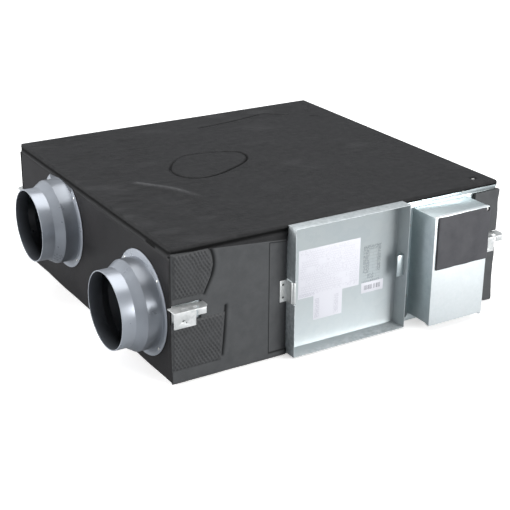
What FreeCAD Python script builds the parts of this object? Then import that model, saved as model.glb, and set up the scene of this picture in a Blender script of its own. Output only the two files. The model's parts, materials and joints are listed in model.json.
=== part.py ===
import FreeCAD, Part
import os
import Sketcher

# Heat recovery unit: a flat ceiling-hung casing of galvanised sheet wrapped in black foam.
# Frame: origin on the underside at the middle of the casing, +Z up, -Y the service side,
# -X the side with the exhaust and outdoor ducts, +X the side with the supply and return ducts.

DRIVING_SIZES = {
    "casing_width": 850,
    "casing_depth": 814,
    "casing_height": 300,
    "foam_thick": 5,
    "top_foam_thick": 3,
    "top_skirt": 20,
    "foam_low": 1,
    "metal_thick": 1,
    "pan_flange": 16,
    "fit_gap": 0.3,
    # maintenance cover, a tray whose rim faces outwards
    "door_half": 148,
    "door_low": 4,
    "door_high": 298,
    "door_proud": 28,
    "door_recess": 12,
    "door_gap": 1.5,
    "jamb_lip": 11,
    "jamb_depth": 21,
    # hinge and catch, both at mid height of the cover
    "hinge_low": 126,
    "hinge_high": 176,
    "hinge_pin_radius": 2,
    "hinge_pin_out": 17,
    "hinge_pin_in": 4.5,
    "seal_gap": 0.6,
    # round duct collars
    "exhaust_y": -277.5,
    "supply_y": -122.5,
    "rear_port_y": 139,
    "port_low_z": 137.4,
    "port_high_z": 185.2,
    "collar_flange_radius": 114.6,
    "collar_flange_thick": 2,
    "collar_radius": 98.5,
    "spigot_radius": 85,
    "collar_wall": 2.5,
    "collar_sleeve": 14,
    "collar_shoulder": 35,
    "collar_cone_end": 55.5,
    "collar_length": 86,
    # control box
    "box_left": 180,
    "box_width": 153,
    "box_low": 22,
    "box_high": 277,
    "box_proud": 75,
    "box_flange": 16,
    "pad_thick": 5,
    "pad_height": 124,
    "cable_x": 220,
    "cable_z": 150,
    "cable_hole_radius": 10,
    "board_back": 12.4,
    # hanger brackets
    "hanger_top": 176,
    "hanger_reach": 30,
    "hanger_thick": 2,
    "hanger_overhang": 8,
    "hanger_shift": 782,
    "hanger_edge": 64,
    "hanger_ear": 72,
    "hanger_ear_out": 20,
    "hanger_seat_from": 4,
    "hanger_seat_to": 60,
    "hanger_plate_to": 41,
    "hanger_plate_low": 141,
    "hanger_lip_from": 46,
    "hanger_lip_low": 162,
    "hanger_gap_half": 34,
    "hanger_screw_z": 150,
    "slot_radius": 4.5,
    "slot_length": 14,
    "slot_outer": 21,
    "slot_inner": 47,
    "slot_out": 20,
    # exchanger cores and their rails
    "core_side": 184,
    "core_length": 346,
    "core_front": -370,
    "rail_thick": 2,
    "rail_arm": 18,
    "partition_thick": 3,
    "left_partition_y": -62,
    "right_partition_y": -18,
    "filter_width": 136,
    "filter_thick": 10,
    # fans
    "fan_x": 280,
    "fan_y": -200,
    "fan_low": 82,
    "fan_high": 192,
    "impeller_radius": 72,
    "blade_inner_radius": 60,
    "blade_thick": 1.2,
    "blade_count": 36,
    "shaft_radius": 4,
    "running_gap": 0.05,
    "motor_radius": 48,
    "motor_height": 52,
    "scroll_wall": 1.5,
    "scroll_base": 90,
    "scroll_step": 14,
    "scroll_mouth": 105,
    "leg_across": 58,
    "leg_front": -82.5,
    "leg_rear": 71.5,
    "leg_width": 16,
    "leg_thick": 3,
    # bypass damper
    "end_plate_y": 331,
    "damper_y": 366.5,
    "damper_width": 50,
    "damper_low": 164,
    "damper_high": 274,
    "damper_shaft_radius": 3,
}

doc = FreeCAD.newDocument("heat_recovery_unit")
sheet = doc.addObject("Spreadsheet::Sheet", "sizes")
for row, (alias, amount) in enumerate(DRIVING_SIZES.items(), start=1):
    sheet.set(f"A{row}", alias)
    sheet.set(f"B{row}", str(amount))
    sheet.setAlias(f"B{row}", alias)
doc.recompute()

nodes = []

LEFT = "(-sizes.casing_width / 2)"
RIGHT = "(sizes.casing_width / 2)"
FRONT = "(-sizes.casing_depth / 2)"
REAR = "(sizes.casing_depth / 2)"
SKIRT_LOW = "(sizes.casing_height - sizes.top_skirt)"
METAL_LEFT = f"({LEFT} + sizes.foam_thick)"
METAL_RIGHT = f"({RIGHT} - sizes.foam_thick)"
METAL_FRONT = f"({FRONT} + sizes.foam_thick)"
METAL_REAR = f"({REAR} - sizes.foam_thick)"
METAL_TOP = "(sizes.casing_height - sizes.top_foam_thick)"
ROOM_LOW = "sizes.metal_thick"
ROOM_HIGH = f"({METAL_TOP} - sizes.metal_thick)"
CORE_Z = f"(({ROOM_LOW} + {ROOM_HIGH}) / 2)"
DOOR_HOLE = "(sizes.door_half + sizes.door_gap)"
DOOR_BACK = f"({FRONT} + sizes.door_recess + sizes.metal_thick)"
HINGE_X = "(-sizes.door_half + sizes.hinge_pin_in)"
HINGE_Y = f"({FRONT} - sizes.hinge_pin_out)"
HANGER_MIDDLE = f"({LEFT} + sizes.hanger_gap_half)"
BOX_RIGHT = "(sizes.box_left + sizes.box_width)"
BOX_FRONT = f"({FRONT} - sizes.box_proud)"
PARTITION_IN = f"(({ROOM_HIGH} - {ROOM_LOW}) / 2)"
PARTITION_OUT = f"({PARTITION_IN} + sizes.partition_thick)"
DAMPER_X = f"({PARTITION_IN} + sizes.partition_thick / 2)"
CORE_RUN = "(2 * sizes.core_length + 2)"
WINDOW_SEAT = f"({FRONT} + 3)"
TOP_SCREW_X = f"({RIGHT} - 45)"
TOP_SCREW_Y = f"({FRONT} + 39)"
HALF_ROOT = "sqrt(0.5)"

# each side's collars: label, y and z of the middle
PORTS = {
    -1: (("exhaust_collar", "sizes.exhaust_y", "sizes.port_low_z"),
         ("outdoor_collar", "sizes.rear_port_y", "sizes.port_high_z")),
    1: (("supply_collar", "sizes.supply_y", "sizes.port_low_z"),
        ("return_collar", "sizes.rear_port_y", "sizes.port_low_z")),
}


def number(expression):
    """The plain value of a sheet expression."""
    return float(sheet.evalExpression(str(expression)))


def vector(x, y, z):
    return FreeCAD.Vector(number(x), number(y), number(z))


def place(item, x, y, z):
    """Bind an object's position to sheet expressions."""
    for letter, expression in zip("xyz", (x, y, z)):
        item.setExpression(f".Placement.Base.{letter}", str(expression))


def keep(item, label):
    """Name a finished sub-part, which is also its file's name."""
    item.Label = label
    nodes.append(item)
    return item


def block(x_from, x_to, y_from, y_to, z_from, z_to, name="block"):
    """A box between two corners, each side a sheet expression."""
    item = doc.addObject("Part::Box", name)
    item.setExpression("Length", f"({x_to}) - ({x_from})")
    item.setExpression("Width", f"({y_to}) - ({y_from})")
    item.setExpression("Height", f"({z_to}) - ({z_from})")
    place(item, x_from, y_from, z_from)
    return item


def round_bar(radius, length, x, y, z, along="z", name="bar"):
    """A cylinder that starts at a point and runs along +X, +Y or +Z."""
    item = doc.addObject("Part::Cylinder", name)
    item.setExpression("Radius", str(radius))
    item.setExpression("Height", str(length))
    turns = {"z": (0, 0, 1, 0), "x": (0, 1, 0, 90), "y": (1, 0, 0, -90)}
    ax, ay, az, angle = turns[along]
    item.Placement = FreeCAD.Placement(
        FreeCAD.Vector(), FreeCAD.Rotation(FreeCAD.Vector(ax, ay, az), angle))
    place(item, x, y, z)
    return item


def fuse(items, name="fuse"):
    item = doc.addObject("Part::MultiFuse", name)
    item.Shapes = items
    item.Refine = True
    return item


def cut(base, tools, name="cut"):
    """Take one or more tools out of a base."""
    item = doc.addObject("Part::Cut", name)
    item.Base = base
    item.Tool = tools[0] if len(tools) == 1 else fuse(tools, f"{name}_tools")
    return item


def group(items, name="group"):
    """Loose identical solids kept as one sub-part."""
    item = doc.addObject("Part::Compound", name)
    item.Links = items
    return item


def new_body(label):
    return doc.addObject("PartDesign::Body", f"{label}_body")


def new_sketch(body, plane, offset="0"):
    """A sketch on one of the body's own origin planes, moved along the plane's normal."""
    sketch = body.newObject("Sketcher::SketchObject", f"{body.Name}_sketch")
    support = [f for f in body.Origin.OriginFeatures if f.Role == plane][0]
    sketch.AttachmentSupport = (support, [""])
    sketch.MapMode = "FlatFace"
    sketch.setExpression(".AttachmentOffset.Base.z", str(offset))
    return sketch


def constrain_point(sketch, curve, end, x, y):
    """Fix one point of a curve at sheet expressions measured from the sketch's origin."""
    for kind, expression in (("DistanceX", x), ("DistanceY", y)):
        index = sketch.addConstraint(
            Sketcher.Constraint(kind, -1, 1, curve, end, number(expression)))
        sketch.setExpression(f"Constraints[{index}]", str(expression))


def add_polygon(sketch, points):
    """A closed outline whose corners are pairs of sheet expressions."""
    first = sketch.GeometryCount
    corners = [vector(x, y, 0) for x, y in points]
    count = len(corners)
    for i in range(count):
        sketch.addGeometry(Part.LineSegment(corners[i], corners[(i + 1) % count]), False)
    for i in range(count):
        sketch.addConstraint(
            Sketcher.Constraint("Coincident", first + i, 2, first + (i + 1) % count, 1))
    for i, (x, y) in enumerate(points):
        constrain_point(sketch, first + i, 1, x, y)


def add_circle(sketch, x, y, radius):
    curve = sketch.addGeometry(
        Part.Circle(vector(x, y, 0), FreeCAD.Vector(0, 0, 1), number(radius)), False)
    constrain_point(sketch, curve, 3, x, y)
    index = sketch.addConstraint(Sketcher.Constraint("Radius", curve, number(radius)))
    sketch.setExpression(f"Constraints[{index}]", str(radius))


def pad(body, sketch, length, back=False):
    item = body.newObject("PartDesign::Pad", f"{body.Name}_pad")
    item.Profile = sketch
    item.setExpression("Length", str(length))
    item.Reversed = back
    body.Tip = item
    return item


def revolve(body, sketch, axis="V_Axis"):
    item = body.newObject("PartDesign::Revolution", f"{body.Name}_turn")
    item.Profile = sketch
    item.ReferenceAxis = (sketch, [axis])
    item.Angle = 360
    body.Tip = item
    return item


def base_pan():
    """Shallow tray under the casing, its flange open at the maintenance opening."""
    tray = block(METAL_LEFT, METAL_RIGHT, METAL_FRONT, METAL_REAR, "0", "sizes.pan_flange")
    inside = block(f"{METAL_LEFT} + sizes.metal_thick", f"{METAL_RIGHT} - sizes.metal_thick",
                   f"{METAL_FRONT} + sizes.metal_thick", f"{METAL_REAR} - sizes.metal_thick",
                   "sizes.metal_thick", "sizes.pan_flange * 2")
    doorway = block(f"-{DOOR_HOLE}", DOOR_HOLE, f"{METAL_FRONT} - 1",
                    f"{METAL_FRONT} + sizes.metal_thick * 2", "sizes.metal_thick",
                    "sizes.pan_flange * 2")
    return keep(cut(tray, [inside, doorway]), "base_pan")


def top_panel():
    """Shallow tray whose flange is notched over the cover and the high collar."""
    tray = block(METAL_LEFT, METAL_RIGHT, METAL_FRONT, METAL_REAR, SKIRT_LOW, METAL_TOP)
    inside = block(f"{METAL_LEFT} + sizes.metal_thick", f"{METAL_RIGHT} - sizes.metal_thick",
                   f"{METAL_FRONT} + sizes.metal_thick", f"{METAL_REAR} - sizes.metal_thick",
                   f"{SKIRT_LOW} - 1", ROOM_HIGH)
    doorway = block(f"-{DOOR_HOLE}", DOOR_HOLE, f"{FRONT} - 1", f"{DOOR_BACK} + sizes.fit_gap",
                    f"{SKIRT_LOW} - 1", f"{METAL_TOP} + 1")
    return keep(cut(tray, [inside, doorway] + duct_holes(-1)), "top_panel")


def duct_holes(side):
    """Cutters for the two duct collars of one side, long enough for every skin there."""
    start = f"{LEFT} - 2" if side < 0 else f"{RIGHT} - 18"
    return [round_bar("sizes.collar_radius + sizes.fit_gap", "20", start, y, z, "x")
            for _, y, z in PORTS[side]]


def side_panels():
    """Upright sheets inside the pan's flanges, each with its two duct holes."""
    for side, label, outer in ((-1, "left_panel", f"{METAL_LEFT} + sizes.metal_thick"),
                               (1, "right_panel", f"{METAL_RIGHT} - 2 * sizes.metal_thick")):
        panel = block(outer, f"{outer} + sizes.metal_thick", f"{METAL_FRONT} + sizes.metal_thick",
                      f"{METAL_REAR} - sizes.metal_thick", ROOM_LOW, ROOM_HIGH)
        keep(cut(panel, duct_holes(side)), label)


def rear_panel():
    inner = "2 * sizes.metal_thick"
    panel = block(f"{METAL_LEFT} + {inner}", f"{METAL_RIGHT} - {inner}",
                  f"{METAL_REAR} - {inner}", f"{METAL_REAR} - sizes.metal_thick",
                  ROOM_LOW, ROOM_HIGH)
    return keep(panel, "rear_panel")


def front_panel_outline(side):
    """Plan of a front panel with its jamb and the lip that carries the seal."""
    outer = f"{side} * ({METAL_RIGHT} - 2 * sizes.metal_thick)"
    jamb = f"{side} * {DOOR_HOLE}"
    jamb_back = f"{side} * ({DOOR_HOLE} + sizes.metal_thick)"
    lip = f"{side} * ({DOOR_HOLE} - sizes.jamb_lip)"
    face = f"{METAL_FRONT} + sizes.metal_thick"
    face_back = f"{METAL_FRONT} + 2 * sizes.metal_thick"
    seat = f"{FRONT} + sizes.jamb_depth - sizes.metal_thick"
    seat_back = f"{FRONT} + sizes.jamb_depth"
    return [(outer, face), (jamb, face), (jamb, seat), (lip, seat), (lip, seat_back),
            (jamb_back, seat_back), (jamb_back, face_back), (outer, face_back)]


def front_panel(side, label):
    body = new_body(label)
    sketch = new_sketch(body, "XY_Plane", ROOM_LOW)
    add_polygon(sketch, front_panel_outline(side))
    pad(body, sketch, f"{ROOM_HIGH} - {ROOM_LOW}")
    return body


def cable_bar(radius, start, length="20"):
    """A round bar on the line of the cable's way from the box into the casing."""
    return round_bar(radius, length, "sizes.cable_x", start, "sizes.cable_z", "y")


def front_panels():
    """Two sheets, one each side of the maintenance opening."""
    keep(front_panel(-1, "front_left"), "front_left_panel")
    way = cable_bar("sizes.cable_hole_radius", f"{METAL_FRONT} - 5")
    keep(cut(front_panel(1, "front_right"), [way]), "front_right_panel")


def top_foam():
    """Thin foam sheet that hangs over the casing's edges as a skirt."""
    cap = block(LEFT, RIGHT, FRONT, REAR, SKIRT_LOW, "sizes.casing_height")
    inside = block(METAL_LEFT, METAL_RIGHT, METAL_FRONT, METAL_REAR, f"{SKIRT_LOW} - 1", METAL_TOP)
    bare_front = block("-sizes.door_half - sizes.fit_gap", METAL_RIGHT, f"{FRONT} - 1",
                       f"{METAL_FRONT} + 1", f"{SKIRT_LOW} - 1", METAL_TOP)
    over_door = block("-sizes.door_half - sizes.fit_gap", "sizes.door_half + sizes.door_gap",
                      f"{FRONT} - 1", f"{DOOR_BACK} + sizes.fit_gap", f"{SKIRT_LOW} - 1",
                      "sizes.door_high + sizes.fit_gap")
    screw_room = round_bar("4.5", "10", TOP_SCREW_X, TOP_SCREW_Y, f"{METAL_TOP} - 1")
    tools = [inside, bare_front, over_door, screw_room] + duct_holes(-1)
    return keep(cut(cap, tools), "top_foam")


def side_foams():
    for side, label, outer in ((-1, "left_foam", LEFT), (1, "right_foam", METAL_RIGHT)):
        skin = block(outer, f"{outer} + sizes.foam_thick", METAL_FRONT, METAL_REAR,
                     "sizes.foam_low", SKIRT_LOW)
        keep(cut(skin, duct_holes(side)), label)


def bracket_gap(middle, y_from, y_to):
    """Room in the foam around a hanger bracket."""
    return block(f"{middle} - sizes.hanger_gap_half", f"{middle} + sizes.hanger_gap_half",
                 y_from, y_to, "sizes.hanger_top - 40", "sizes.hanger_top + 2")


def rear_foam():
    sheet_solid = block(LEFT, RIGHT, METAL_REAR, REAR, "sizes.foam_low", SKIRT_LOW)
    gaps = [bracket_gap(f"-({middle})", f"{METAL_REAR} - 1", f"{REAR} + 1")
            for middle in (HANGER_MIDDLE, f"{HANGER_MIDDLE} + sizes.hanger_shift")]
    return keep(cut(sheet_solid, gaps), "rear_foam")


def front_foam():
    """Foam left of the cover, thinned to a window where the hinge bracket sits."""
    sheet_solid = block(LEFT, f"-{DOOR_HOLE}", FRONT, METAL_FRONT, "sizes.foam_low", SKIRT_LOW)
    window = block(f"{LEFT} + 231", f"-{DOOR_HOLE} + 1", f"{FRONT} - 1", WINDOW_SEAT,
                   "15", "275")
    gap = bracket_gap(HANGER_MIDDLE, f"{FRONT} - 1", f"{METAL_FRONT} + 1")
    return keep(cut(sheet_solid, [window, gap]), "front_foam")


def quilted_patches():
    """Two dimpled foam patches above and below the left hanger bracket."""
    patches = [block(f"{LEFT} + {x_from}", f"{LEFT} + {x_to}", f"{FRONT} - 2", FRONT, low, high)
               for x_from, x_to, low, high in ((4, 98, 191, 278), (2, 125, 31, 134))]
    return keep(group(patches), "quilted_patches")


def front_right_foam():
    """Pad right of the control box, joined past the hanger bracket by a thin bridge."""
    edge = f"({RIGHT} - 72)"
    pad_solid = block(edge, RIGHT, f"{FRONT} - 4", METAL_FRONT, "2", SKIRT_LOW)
    gap = block(f"{edge} - 1", f"{RIGHT} + 1", f"{FRONT} - 5", f"{METAL_FRONT} + 1",
                "sizes.hanger_top - 40", "sizes.hanger_top + 2")
    bridge = block(edge, f"{edge} + 6", f"{FRONT} + 2", METAL_FRONT, "130", "180")
    return keep(fuse([cut(pad_solid, [gap]), bridge]), "front_right_foam")


def duct_collar(label, side, y, z):
    """Stepped plastic collar: sleeve, flange, wide barrel, cone and narrow spigot."""
    body = new_body(label)
    sketch = new_sketch(body, "XZ_Plane")
    inner_wide = "(sizes.collar_radius - sizes.collar_wall)"
    inner_narrow = "(sizes.spigot_radius - sizes.collar_wall)"
    flange = "sizes.collar_flange_thick"
    add_polygon(sketch, [
        (inner_wide, "-sizes.collar_sleeve"),
        ("sizes.collar_radius", "-sizes.collar_sleeve"),
        ("sizes.collar_radius", "0"),
        ("sizes.collar_flange_radius", "0"),
        ("sizes.collar_flange_radius", flange),
        ("sizes.collar_radius", flange),
        ("sizes.collar_radius", "sizes.collar_shoulder"),
        ("sizes.spigot_radius", "sizes.collar_cone_end"),
        ("sizes.spigot_radius", "sizes.collar_length"),
        (inner_narrow, "sizes.collar_length"),
        (inner_narrow, "sizes.collar_cone_end"),
        (inner_wide, "sizes.collar_shoulder"),
    ])
    revolve(body, sketch)
    body.Placement = FreeCAD.Placement(
        FreeCAD.Vector(), FreeCAD.Rotation(FreeCAD.Vector(0, 1, 0), 90 * side))
    place(body, f"{side} * {RIGHT}", y, z)
    # the flange stays below the hanging edge of the top foam
    x_far = f"{side} * ({RIGHT} + 30)"
    x_near = f"{side} * {RIGHT} - {side}"
    low_x, high_x = (x_near, x_far) if side > 0 else (x_far, x_near)
    trim = block(low_x, high_x, f"{y} - 150", f"{y} + 150", f"{SKIRT_LOW} - sizes.fit_gap", "400")
    barrel = round_bar("sizes.collar_radius", "sizes.collar_length", low_x, y, z, "x")
    return keep(cut(body, [cut(trim, [barrel])]), label)


def duct_collars():
    for side, ports in PORTS.items():
        for label, y, z in ports:
            duct_collar(label, side, y, z)


def slot_cutter(x):
    """An upright round-ended slot whose long side runs along X."""
    half_run = "(sizes.slot_length / 2 - sizes.slot_radius)"
    low = "sizes.hanger_top - 6"
    out = "-sizes.slot_out"
    ends = [round_bar("sizes.slot_radius", "12", f"{x} + {sign} * {half_run}", out, low)
            for sign in (-1, 1)]
    middle = block(f"{x} - {half_run}", f"{x} + {half_run}", f"{out} - sizes.slot_radius",
                   f"{out} + sizes.slot_radius", low, "sizes.hanger_top + 6")
    return ends + [middle]


def hanger_pattern():
    """The stamped bracket, drawn with the casing's front left corner at the origin."""
    body = new_body("hanger_plate")
    sketch = new_sketch(body, "XY_Plane", "sizes.hanger_top - sizes.hanger_thick")
    reach = "-sizes.hanger_reach"
    left = "-sizes.hanger_overhang"
    back = "(sizes.foam_thick - sizes.hanger_thick)"
    add_polygon(sketch, [(left, reach), ("sizes.hanger_edge", reach),
                         ("sizes.hanger_ear", "-sizes.hanger_ear_out"),
                         ("sizes.hanger_ear", "-1"), ("sizes.hanger_seat_to", "-1"),
                         ("sizes.hanger_seat_to", back), ("sizes.hanger_seat_from", back),
                         ("sizes.hanger_seat_from", "-1"), (left, "-1")])
    pad(body, sketch, "sizes.hanger_thick")
    reach_back = f"{reach} + sizes.hanger_thick"
    front_plate = block(left, "sizes.hanger_plate_to", reach, reach_back,
                        "sizes.hanger_plate_low", "sizes.hanger_top")
    front_lip = block("sizes.hanger_lip_from", "sizes.hanger_edge + 1", reach, reach_back,
                      "sizes.hanger_lip_low", "sizes.hanger_top")
    back_plate = block("sizes.hanger_seat_from", "sizes.hanger_seat_to", back,
                       "sizes.foam_thick", "sizes.hanger_plate_low - 1", "sizes.hanger_top")
    holes = [round_bar(radius, "6", x, f"{reach} - 2", z, "y")
             for radius, x, z in (("3", "13", "156"), ("1.8", "20", "151"))]
    slots = slot_cutter("sizes.slot_outer") + slot_cutter("sizes.slot_inner")
    return cut(fuse([body, front_plate, front_lip, back_plate]), holes + slots, "hanger_pattern")


def placed_copy(item, label, x, y, angle):
    """A further piece of the same shape, as a body of its own."""
    twin = doc.addObject("Part::Compound", label)
    twin.Links = [item]
    twin.Placement = FreeCAD.Placement(
        vector(x, y, 0), FreeCAD.Rotation(FreeCAD.Vector(0, 0, 1), angle))
    return keep(twin, label)


def hanger_brackets():
    pattern = hanger_pattern()
    shifted = f"{LEFT} + sizes.hanger_shift"
    placed_copy(pattern, "front_left_hanger", LEFT, FRONT, 0)
    placed_copy(pattern, "front_right_hanger", shifted, FRONT, 0)
    placed_copy(pattern, "rear_right_hanger", RIGHT, REAR, 180)
    placed_copy(pattern, "rear_left_hanger", f"-({shifted})", REAR, 180)


def screw_pattern(name, head_radius, head_height, shank_radius, shank_length):
    """Pan-head screw: head seat at the origin, head up +Z, shank down."""
    body = new_body(name)
    sketch = new_sketch(body, "XZ_Plane")
    add_polygon(sketch, [("0", f"-{shank_length}"), (shank_radius, f"-{shank_length}"),
                         (shank_radius, "0"), (head_radius, "0"),
                         (head_radius, f"{head_height} * 0.5"),
                         (f"{head_radius} * 0.6", head_height), ("0", head_height)])
    revolve(body, sketch)
    return body


def screws_at(pattern, label, spots):
    """Copies of a screw; each spot is (x, y, z, axis, angle) with the turn about that axis."""
    copies = []
    for x, y, z, axis, angle in spots:
        twin = doc.addObject("Part::Compound", f"{label}_one")
        twin.Links = [pattern]
        twin.Placement = FreeCAD.Placement(
            vector(x, y, z), FreeCAD.Rotation(FreeCAD.Vector(*axis), angle))
        copies.append(twin)
    return keep(group(copies), label)


TO_FRONT = ((1, 0, 0), 90)
TO_REAR = ((1, 0, 0), -90)
TO_TOP = ((1, 0, 0), 0)
TO_LEFT = ((0, 1, 0), -90)
TO_RIGHT = ((0, 1, 0), 90)


def bracket_screw_spots():
    bracket_y = f"{FRONT} + sizes.foam_thick - sizes.hanger_thick"
    bracket_z = "sizes.hanger_screw_z"
    spots = []
    for start in (LEFT, f"{LEFT} + sizes.hanger_shift"):
        for offset in (14, 50):
            spots.append((f"{start} + {offset}", bracket_y, bracket_z) + TO_FRONT)
            spots.append((f"-({start}) - {offset}", f"-({bracket_y})", bracket_z) + TO_REAR)
    return spots


def casing_screws():
    """Screws of the brackets, the bare strip, the top and the control box."""
    strip_z = "sizes.casing_height - 10"
    spots = [(f"{LEFT} + {x}", METAL_FRONT, strip_z) + TO_FRONT for x in (630, 745)]
    spots.append((TOP_SCREW_X, TOP_SCREW_Y, METAL_TOP) + TO_TOP)
    spots += [("sizes.box_left - 7", f"{METAL_FRONT} - sizes.metal_thick", z) + TO_FRONT
              for z in ("65", "235")]
    spots.append((f"{BOX_RIGHT} - 8", BOX_FRONT, "sizes.box_high - 5") + TO_FRONT)
    pattern = screw_pattern("small_screw", head_radius="4", head_height="2",
                            shank_radius="1.8", shank_length="5")
    screws_at(pattern, "casing_screws", bracket_screw_spots() + spots)


def collar_screws():
    """Four screws through each collar's flange, on its diagonals."""
    reach = f"(sizes.collar_flange_radius - 7.5) * {HALF_ROOT}"
    spots = []
    for side, turn in ((-1, TO_LEFT), (1, TO_RIGHT)):
        head_seat = f"{side} * ({RIGHT} + sizes.collar_flange_thick)"
        for _, y, z in PORTS[side]:
            for up in (-1, 1):
                for along in (-1, 1):
                    spot = (head_seat, f"{y} + {along} * {reach}", f"{z} + {up} * {reach}")
                    spots.append(spot + turn)
    pattern = screw_pattern("collar_screw", head_radius="3.4", head_height="1.6",
                            shank_radius="1.5", shank_length="10")
    screws_at(pattern, "collar_screws", spots)


def maintenance_cover():
    """Tray with its rim outwards, notched at the hinge, with two ears that hold the pin."""
    front = f"({FRONT} - sizes.door_proud)"
    wall = "sizes.metal_thick"
    tray = block("-sizes.door_half", "sizes.door_half", front, DOOR_BACK,
                 "sizes.door_low", "sizes.door_high")
    inside = block(f"-sizes.door_half + {wall}", f"sizes.door_half - {wall}", f"{front} - 1",
                   f"{DOOR_BACK} - {wall}", f"sizes.door_low + {wall}",
                   f"sizes.door_high - {wall}")
    notch = block("-sizes.door_half - 1", f"-sizes.door_half + {wall} + 0.5", f"{front} - 1",
                  f"{FRONT} + 4", "sizes.hinge_low", "sizes.hinge_high + 2")
    ears = [block("-sizes.door_half", "-sizes.door_half + 8", f"{HINGE_Y} - 5", f"{HINGE_Y} + 5",
                  z_from, z_to)
            for z_from, z_to in (("sizes.hinge_low - 1.5", "sizes.hinge_low"),
                                 ("sizes.hinge_high + 2", "sizes.hinge_high + 3.5"))]
    pin_hole = round_bar("sizes.hinge_pin_radius", "80", HINGE_X, HINGE_Y, "sizes.hinge_low - 15")
    return keep(cut(fuse([cut(tray, [inside, notch])] + ears), [pin_hole]), "maintenance_cover")


def hinge_pin():
    """Headed pin held by the cover's two ears."""
    stem = round_bar("sizes.hinge_pin_radius", "sizes.hinge_high - sizes.hinge_low + 7",
                     HINGE_X, HINGE_Y, "sizes.hinge_low - 2.5")
    head = round_bar("sizes.hinge_pin_radius * 1.5", "1.5", HINGE_X, HINGE_Y,
                     "sizes.hinge_high + 3.5")
    return keep(fuse([stem, head]), "hinge_pin")


def hinge_bracket():
    """Angle on the casing whose outer leg ends in the knuckle around the pin."""
    thick = "1.6"
    low = "sizes.hinge_low + 1"
    high = "sizes.hinge_high"
    corner = "(-sizes.door_half - 0.6)"
    web_front = f"{HINGE_Y} - {thick} / 2"
    foot = block(f"{corner} - 18", corner, f"{WINDOW_SEAT} - {thick}", WINDOW_SEAT, low, high)
    arm = block(f"{corner} - {thick}", corner, web_front, WINDOW_SEAT, low, high)
    web = block(f"{corner} - {thick}", HINGE_X, web_front, f"{HINGE_Y} + {thick} / 2", low, high)
    knuckle = round_bar("sizes.hinge_pin_radius + 2", f"({high}) - ({low})", HINGE_X, HINGE_Y, low)
    bore = round_bar("sizes.hinge_pin_radius + sizes.running_gap", "80", HINGE_X, HINGE_Y,
                     f"{low} - 5")
    holes = [round_bar("2.5", "10", f"{corner} - 10", f"{WINDOW_SEAT} - 5", z, "y")
             for z in ("sizes.hinge_low + 11", "sizes.hinge_high - 10")]
    return keep(cut(fuse([foot, arm, web, knuckle]), [bore] + holes), "hinge_bracket")


def cover_catch():
    """Bent tab on the free side of the cover that a hand grips to pull it open."""
    thick = "1.5"
    edge = "(sizes.door_half - sizes.metal_thick)"
    face = f"({FRONT} - 16)"
    low, high = "sizes.hinge_low + 2", "sizes.hinge_high + 2"
    plate = block(f"{edge} - 18", edge, face, f"{face} + {thick}", low, high)
    leg = block(f"{edge} - {thick}", edge, f"{face} + {thick}", f"{FRONT} + 4", low, high)
    return keep(fuse([plate, leg]), "cover_catch")


def cover_labels():
    """Two plain paper labels on the cover's recessed face."""
    face = f"({DOOR_BACK} - sizes.metal_thick)"
    thick = "0.25"
    big, tail, small = [
        block(f"{LEFT} + {x_from}", f"{LEFT} + {x_to}", f"{face} - {thick}", face, low, high)
        for x_from, x_to, low, high in ((311, 471, 117, 229), (351, 427, 59, 117),
                                        (478, 538, 93, 118))]
    return keep(group([fuse([big, tail]), small]), "cover_labels")


def cover_seal():
    """Soft frame between the jamb lips and the closed cover, at the two upright edges."""
    strips = [block(x_from, x_to, f"{DOOR_BACK} + sizes.seal_gap",
                    f"{FRONT} + sizes.jamb_depth - sizes.metal_thick", "14", "284")
              for x_from, x_to in (
                  (f"-{DOOR_HOLE} + 1", f"-{DOOR_HOLE} + sizes.jamb_lip"),
                  (f"{DOOR_HOLE} - sizes.jamb_lip", f"{DOOR_HOLE} - 1"))]
    return keep(group(strips), "cover_seal")


def control_box():
    """Tray open to the front, with a flange on the casing and four posts for the board."""
    wall = "sizes.metal_thick"
    tray = block("sizes.box_left", BOX_RIGHT, f"{BOX_FRONT} + {wall}", METAL_FRONT,
                 "sizes.box_low", "sizes.box_high - sizes.metal_thick")
    inside = block(f"sizes.box_left + {wall}", f"{BOX_RIGHT} - {wall}", f"{BOX_FRONT} - 1",
                   f"{METAL_FRONT} - {wall}", f"sizes.box_low + {wall}",
                   f"sizes.box_high - 2 * {wall}")
    flange = block("sizes.box_left - sizes.box_flange", "sizes.box_left",
                   f"{METAL_FRONT} - {wall}", METAL_FRONT, "10",
                   "sizes.box_high - sizes.metal_thick")
    posts = [round_bar("3", f"sizes.board_back - {wall}", x, f"{METAL_FRONT} - sizes.board_back",
                       z, "y")
             for x in ("sizes.box_left + 20", f"{BOX_RIGHT} - 20") for z in ("128", "252")]
    way = cable_bar("sizes.cable_hole_radius", f"{METAL_FRONT} - 5")
    return keep(cut(fuse([cut(tray, [inside]), flange] + posts), [way]), "control_box")


def control_box_lid():
    """Front plate folded back over the top and below the box."""
    wall = "sizes.metal_thick"
    low = "sizes.box_low - 4"
    plate = block("sizes.box_left", BOX_RIGHT, BOX_FRONT, f"{BOX_FRONT} + {wall}", low,
                  "sizes.box_high")
    top_fold = block("sizes.box_left", BOX_RIGHT, f"{BOX_FRONT} + {wall}", f"{BOX_FRONT} + 10",
                     f"sizes.box_high - {wall}", "sizes.box_high")
    low_fold = block("sizes.box_left + 2", f"{BOX_RIGHT} - 2", f"{BOX_FRONT} + {wall}",
                     f"{BOX_FRONT} + 14", low, f"{low} + {wall}")
    hook = block(f"{BOX_RIGHT} - 6", BOX_RIGHT, f"{BOX_FRONT} + {wall}", f"{BOX_FRONT} + 6",
                 f"{low} - 4", f"{low} + 4")
    return keep(fuse([plate, top_fold, low_fold, hook]), "control_box_lid")


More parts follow.
